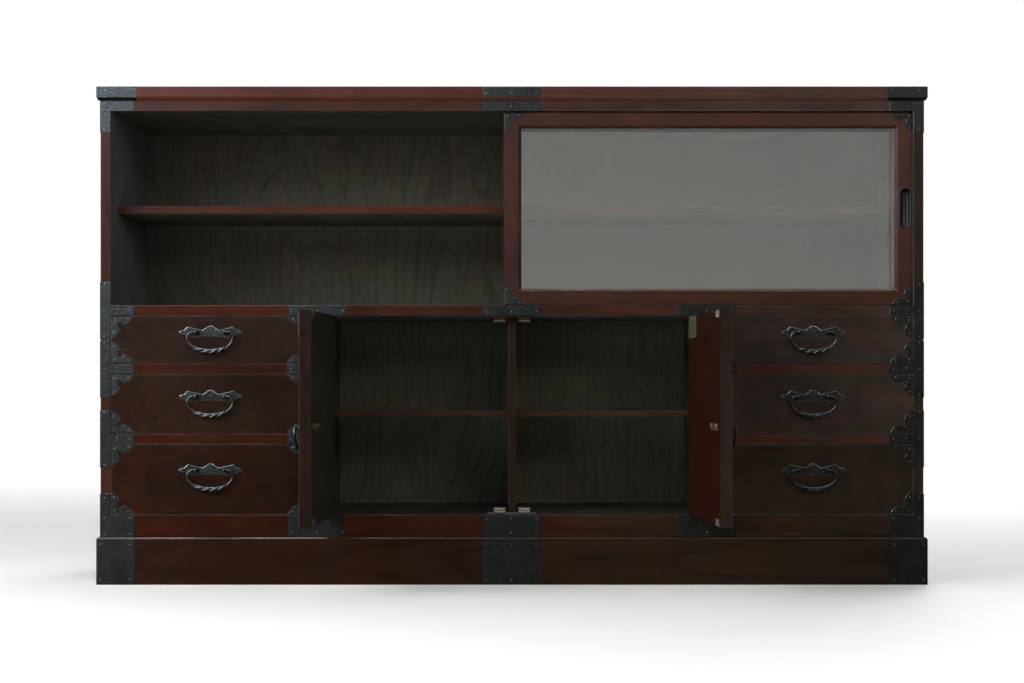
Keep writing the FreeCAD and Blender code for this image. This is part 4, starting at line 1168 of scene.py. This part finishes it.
def dress_front(body, low, high, thickness, turn=None):
    """Handle and corner irons of a drawer or of a hinged door from low to high (x, z). A door
    is drawn closed, then swung by the turn."""
    pivot = Vector(joint_of[body + "_bail"]["pos_m"])
    if turn is not None:
        pivot = turn.inverted() @ pivot
    centre = (pivot.x, pivot.z)
    fittings = handle(body, centre, thickness, turn)
    if turn is not None:
        backing_strip(body, centre, turn)
    corners = panel_corners(body, low, high, front_y, turn=turn)
    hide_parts(body + "_irons")
    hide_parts(body + "_irons")


def drawer_pieces():
    for side, _ in SIDES:
        for level in DRAWERS:
            body = "drawer_" + side + "_" + level
            low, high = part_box(body + "_front")
            dress_front(body, (low.x, low.z), (high.x, high.z), DRAWER_FRONT_THICKNESS)


def door_turn(side, sign):
    """The matrix that swings a closed right-hand or left-hand door to its place at rest."""
    joint = joint_of["door_" + side]
    pivot = Vector(joint["pos_m"])
    swing = Matrix.Rotation(math.radians(max(joint["range_deg"])) * sign, 4, "Z")
    return Matrix.Translation(pivot) @ swing @ Matrix.Translation(-pivot)


def door_pieces():
    for side, sign in SIDES:
        edges = sorted((sign * 0.75 * MM, sign * bay_half))
        low = (edges[0], floor_z + DOOR_GAP)
        high = (edges[1], mid_z - DOOR_GAP)
        dress_front("door_" + side, low, high, DOOR_THICKNESS, door_turn(side, sign))
    label_plate()


def backing_strip(body, centre, turn):
    """A thin brass strip under the nuts, on the inside of a door."""
    strip = outline([(-37, -6), (37, -6), (37, 6), (-37, 6)])
    mesh = finished(plate(strip, 0.0, 1.2 * MM, 0.4 * MM), body + "_backing", False)
    inside = Matrix.Translation((centre[0], front_y + DOOR_THICKNESS, centre[1]))
    mesh.transform(inside @ Matrix.Rotation(math.pi, 4, "Z"))
    ride_as(body + "_backing", mesh, [brass, brass], body, turn)


def label_plate():
    """A bare enamelled plate with a thin border, inside the right door at its hinge edge."""
    low = (bay_half - 92 * MM, mid_z - 45 * MM)
    high = (bay_half - 3 * MM, mid_z - 4 * MM)
    corners = [Vector(corner) for corner in (low, (high[0], low[1]), high, (low[0], high[1]))]
    mesh = finished(plate(corners, 0.0, 0.5 * MM, 0.2 * MM), "door_plate", False)
    inside = Matrix.Translation((0, front_y + DOOR_THICKNESS, 0))
    mesh.transform(inside @ Matrix.Diagonal((1, -1, 1, 1)))
    mesh.flip_normals()
    enamel = plate_enamel("plate_enamel", (0.028, 0.032, 0.012), (0.090, 0.078, 0.040), low, high, 2.2 * MM)
    ride_as("door_plate", mesh, [enamel, enamel], "door_right", place=door_turn("right", 1))


def sliding_door_pieces():
    for body in SLIDING_DOORS:
        low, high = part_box(body + "_frame")
        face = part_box(body + "_irons")[0].y + IRON
        corners = panel_corners(body, (low.x, sill_z + 1 * MM), (high.x, head_z - 1.5 * MM), face, 0.9)
        reach = 14.3 * MM
        cup = finger_cup(body, high.x - reach if body == SLIDING_DOORS[0] else low.x + reach, face)
        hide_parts(body + "_irons")
        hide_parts(body + "_irons")


def stadium(half_width, half_length, steps=12):
    corners = []
    straight = half_length - half_width
    for number in range(steps + 1):
        angle = math.pi * number / steps
        corners.append(Vector((half_width * math.cos(angle), straight + half_width * math.sin(angle))))
    for number in range(steps + 1):
        angle = math.pi + math.pi * number / steps
        corners.append(Vector((half_width * math.cos(angle), -straight + half_width * math.sin(angle))))
    return corners


def finger_cup(body, centre_x, face):
    """A dished iron pull: a rolled rim on the stile's face and a rounded hollow behind it. A
    level is (inset, depth), in millimetres."""
    centre_z = 747 * MM
    half_width = 12 * MM
    half_length = 41.5 * MM
    levels = [(0.0, 0.0), (0.0, -0.5), (0.6, -1.0), (1.8, -1.0), (2.9, -0.2), (3.5, 1.5), (3.6, 5.0),
              (5.0, 7.2), (8.0, 8.0)]
    build = bmesh.new()
    rings = []
    for inset, y in levels:
        points = stadium(half_width - inset * MM, half_length - inset * MM)
        rings.append([build.verts.new((centre_x + p.x, face + y * MM, centre_z + p.y)) for p in points])
    bridge(build, rings)
    build.faces.new(rings[-1])
    name = body + "_finger_cup"
    return ride_as(name, finished(build, name), [black_iron], body)


# Floor, light and camera

def make_floor():
    """Pale floor that turns to the backdrop's white away from the object, to the camera alone."""
    mesh = bpy.data.meshes.new("floor")
    half = 30.0
    corners = [(-half, -half, 0), (half, -half, 0), (half, half, 0), (-half, half, 0)]
    mesh.from_pydata(corners, [], [(0, 1, 2, 3)])
    floor = bpy.data.objects.new("floor", mesh)
    bpy.context.scene.collection.objects.link(floor)
    material, tree, place = new_material("pale_floor")
    x, y = separate(tree, place)[:2]
    far = maths(tree, "SQRT", plus(tree, times(tree, x, x), times(tree, y, y)))
    fade = node(tree, "MapRange", interpolation_type="SMOOTHSTEP")
    put(tree, far, fade.inputs["Value"])
    fade.inputs["From Min"].default_value = 1.2
    fade.inputs["From Max"].default_value = 4.5
    seen = times(tree, fade.outputs[0], node(tree, "LightPath").outputs["Is Camera Ray"])
    shader = principled(tree, (0.80, 0.795, 0.78), 0.7, Specular_IOR_Level=0.2)
    glow = node(tree, "Emission")
    glow.inputs[0].default_value = (1.0, 1.0, 1.0, 1.0)
    output(tree, fed(tree, "MixShader", (seen, shader, glow.outputs[0])))
    mesh.materials.append(material)


def make_world():
    """White to the camera, to reflections and through glass, and a soft ambient light."""
    world = bpy.data.worlds.new("studio")
    bpy.context.scene.world = world
    world.use_nodes = True
    tree = world.node_tree
    tree.nodes.clear()
    path = node(tree, "LightPath")
    seen = maths(tree, "MAXIMUM", path.outputs["Is Camera Ray"], path.outputs["Is Glossy Ray"])
    seen = maths(tree, "MAXIMUM", seen, path.outputs["Is Transmission Ray"])
    back = node(tree, "Background")
    back.inputs["Color"].default_value = (1.0, 1.0, 1.0, 1.0)
    put(tree, span(tree, seen, AMBIENT, 1.0), back.inputs["Strength"])
    out = node(tree, "OutputWorld")
    tree.links.new(back.outputs[0], out.inputs["Surface"])


def make_lamp(name, place, target, size, power, colour, rays="all"):
    """A soft rectangular lamp. One for gloss shows in reflections and lights nothing, and one
    for spread lights evenly and shows in no reflection."""
    data = bpy.data.lights.new(name, "AREA")
    data.shape = "RECTANGLE"
    data.size, data.size_y = size
    data.energy = power
    data.color = colour
    lamp = bpy.data.objects.new(name, data)
    lamp.location = place
    way = Vector(target) - Vector(place)
    lamp.rotation_euler = way.to_track_quat("-Z", "Y").to_euler()
    lamp.visible_diffuse = rays != "gloss"
    lamp.visible_glossy = rays != "spread"
    lamp.visible_transmission = rays != "spread"
    bpy.context.scene.collection.objects.link(lamp)


def make_camera():
    """The photograph's view: straight on, level, from 4.2 m, with a little vertical shift."""
    data = bpy.data.cameras.new("camera")
    image_width = 1024
    focal_pixels = 2133
    horizon_row = 380
    middle_row = 341.5
    data.sensor_width = 36.0
    data.lens = focal_pixels / image_width * data.sensor_width
    data.shift_y = (horizon_row - middle_row) / image_width
    camera = bpy.data.objects.new("camera", data)
    camera.location = (0.0, front_y - 4.235, 0.406)
    camera.rotation_euler = (math.pi / 2, 0.0, 0.0)
    bpy.context.scene.collection.objects.link(camera)
    bpy.context.scene.camera = camera


finish_carcass()
finish_moving_boards()
carcass_nails()
trim_irons()
drawer_pieces()
door_pieces()
sliding_door_pieces()
make_floor()
make_world()
make_lamp("key", (-3.0, -3.0, 2.1), MIDDLE, (2.0, 1.8), 150.0, (1.0, 0.99, 0.975))
make_lamp("fill", (3.6, -3.0, 1.6), MIDDLE, (2.0, 2.0), 26.0, (0.97, 0.98, 1.0))
make_lamp("front", (0.9, -4.4, 2.2), MIDDLE, (1.8, 1.8), 80.0, (1.0, 1.0, 1.0), "spread")
make_lamp("rear", (1.5, 3.6, 2.6), MIDDLE, (2.4, 2.0), 110.0, (1.0, 1.0, 1.0))
make_lamp("sheen", (-2.0, -4.2, 2.5), (-0.5, 0.0, 0.7), (1.2, 1.2), 2400.0, (0.67, 0.84, 1.0), "gloss")
make_lamp("glow", (2.2, -4.2, 2.5), (0.8, 0.0, 0.9), (1.0, 1.0), 330.0, (1.0, 1.0, 0.92), "gloss")
make_lamp("ledge", (-0.9, -0.45, 2.6), (-0.9, -0.45, 0.0), (0.75, 0.5), 300.0, (1.0, 0.95, 1.0), "gloss")
make_lamp("skylight", (0.2, -0.9, 2.8), (0.2, -0.9, 0.0), (2.6, 0.7), 260.0, (1.0, 0.98, 1.0), "gloss")
make_lamp("window", (-2.6, -1.3, 1.5), (0.0, -0.2, 0.6), (1.2, 2.0), 1000.0, (1.0, 0.97, 1.0), "gloss")
make_camera()
bpy.context.scene.view_settings.view_transform = "Standard"
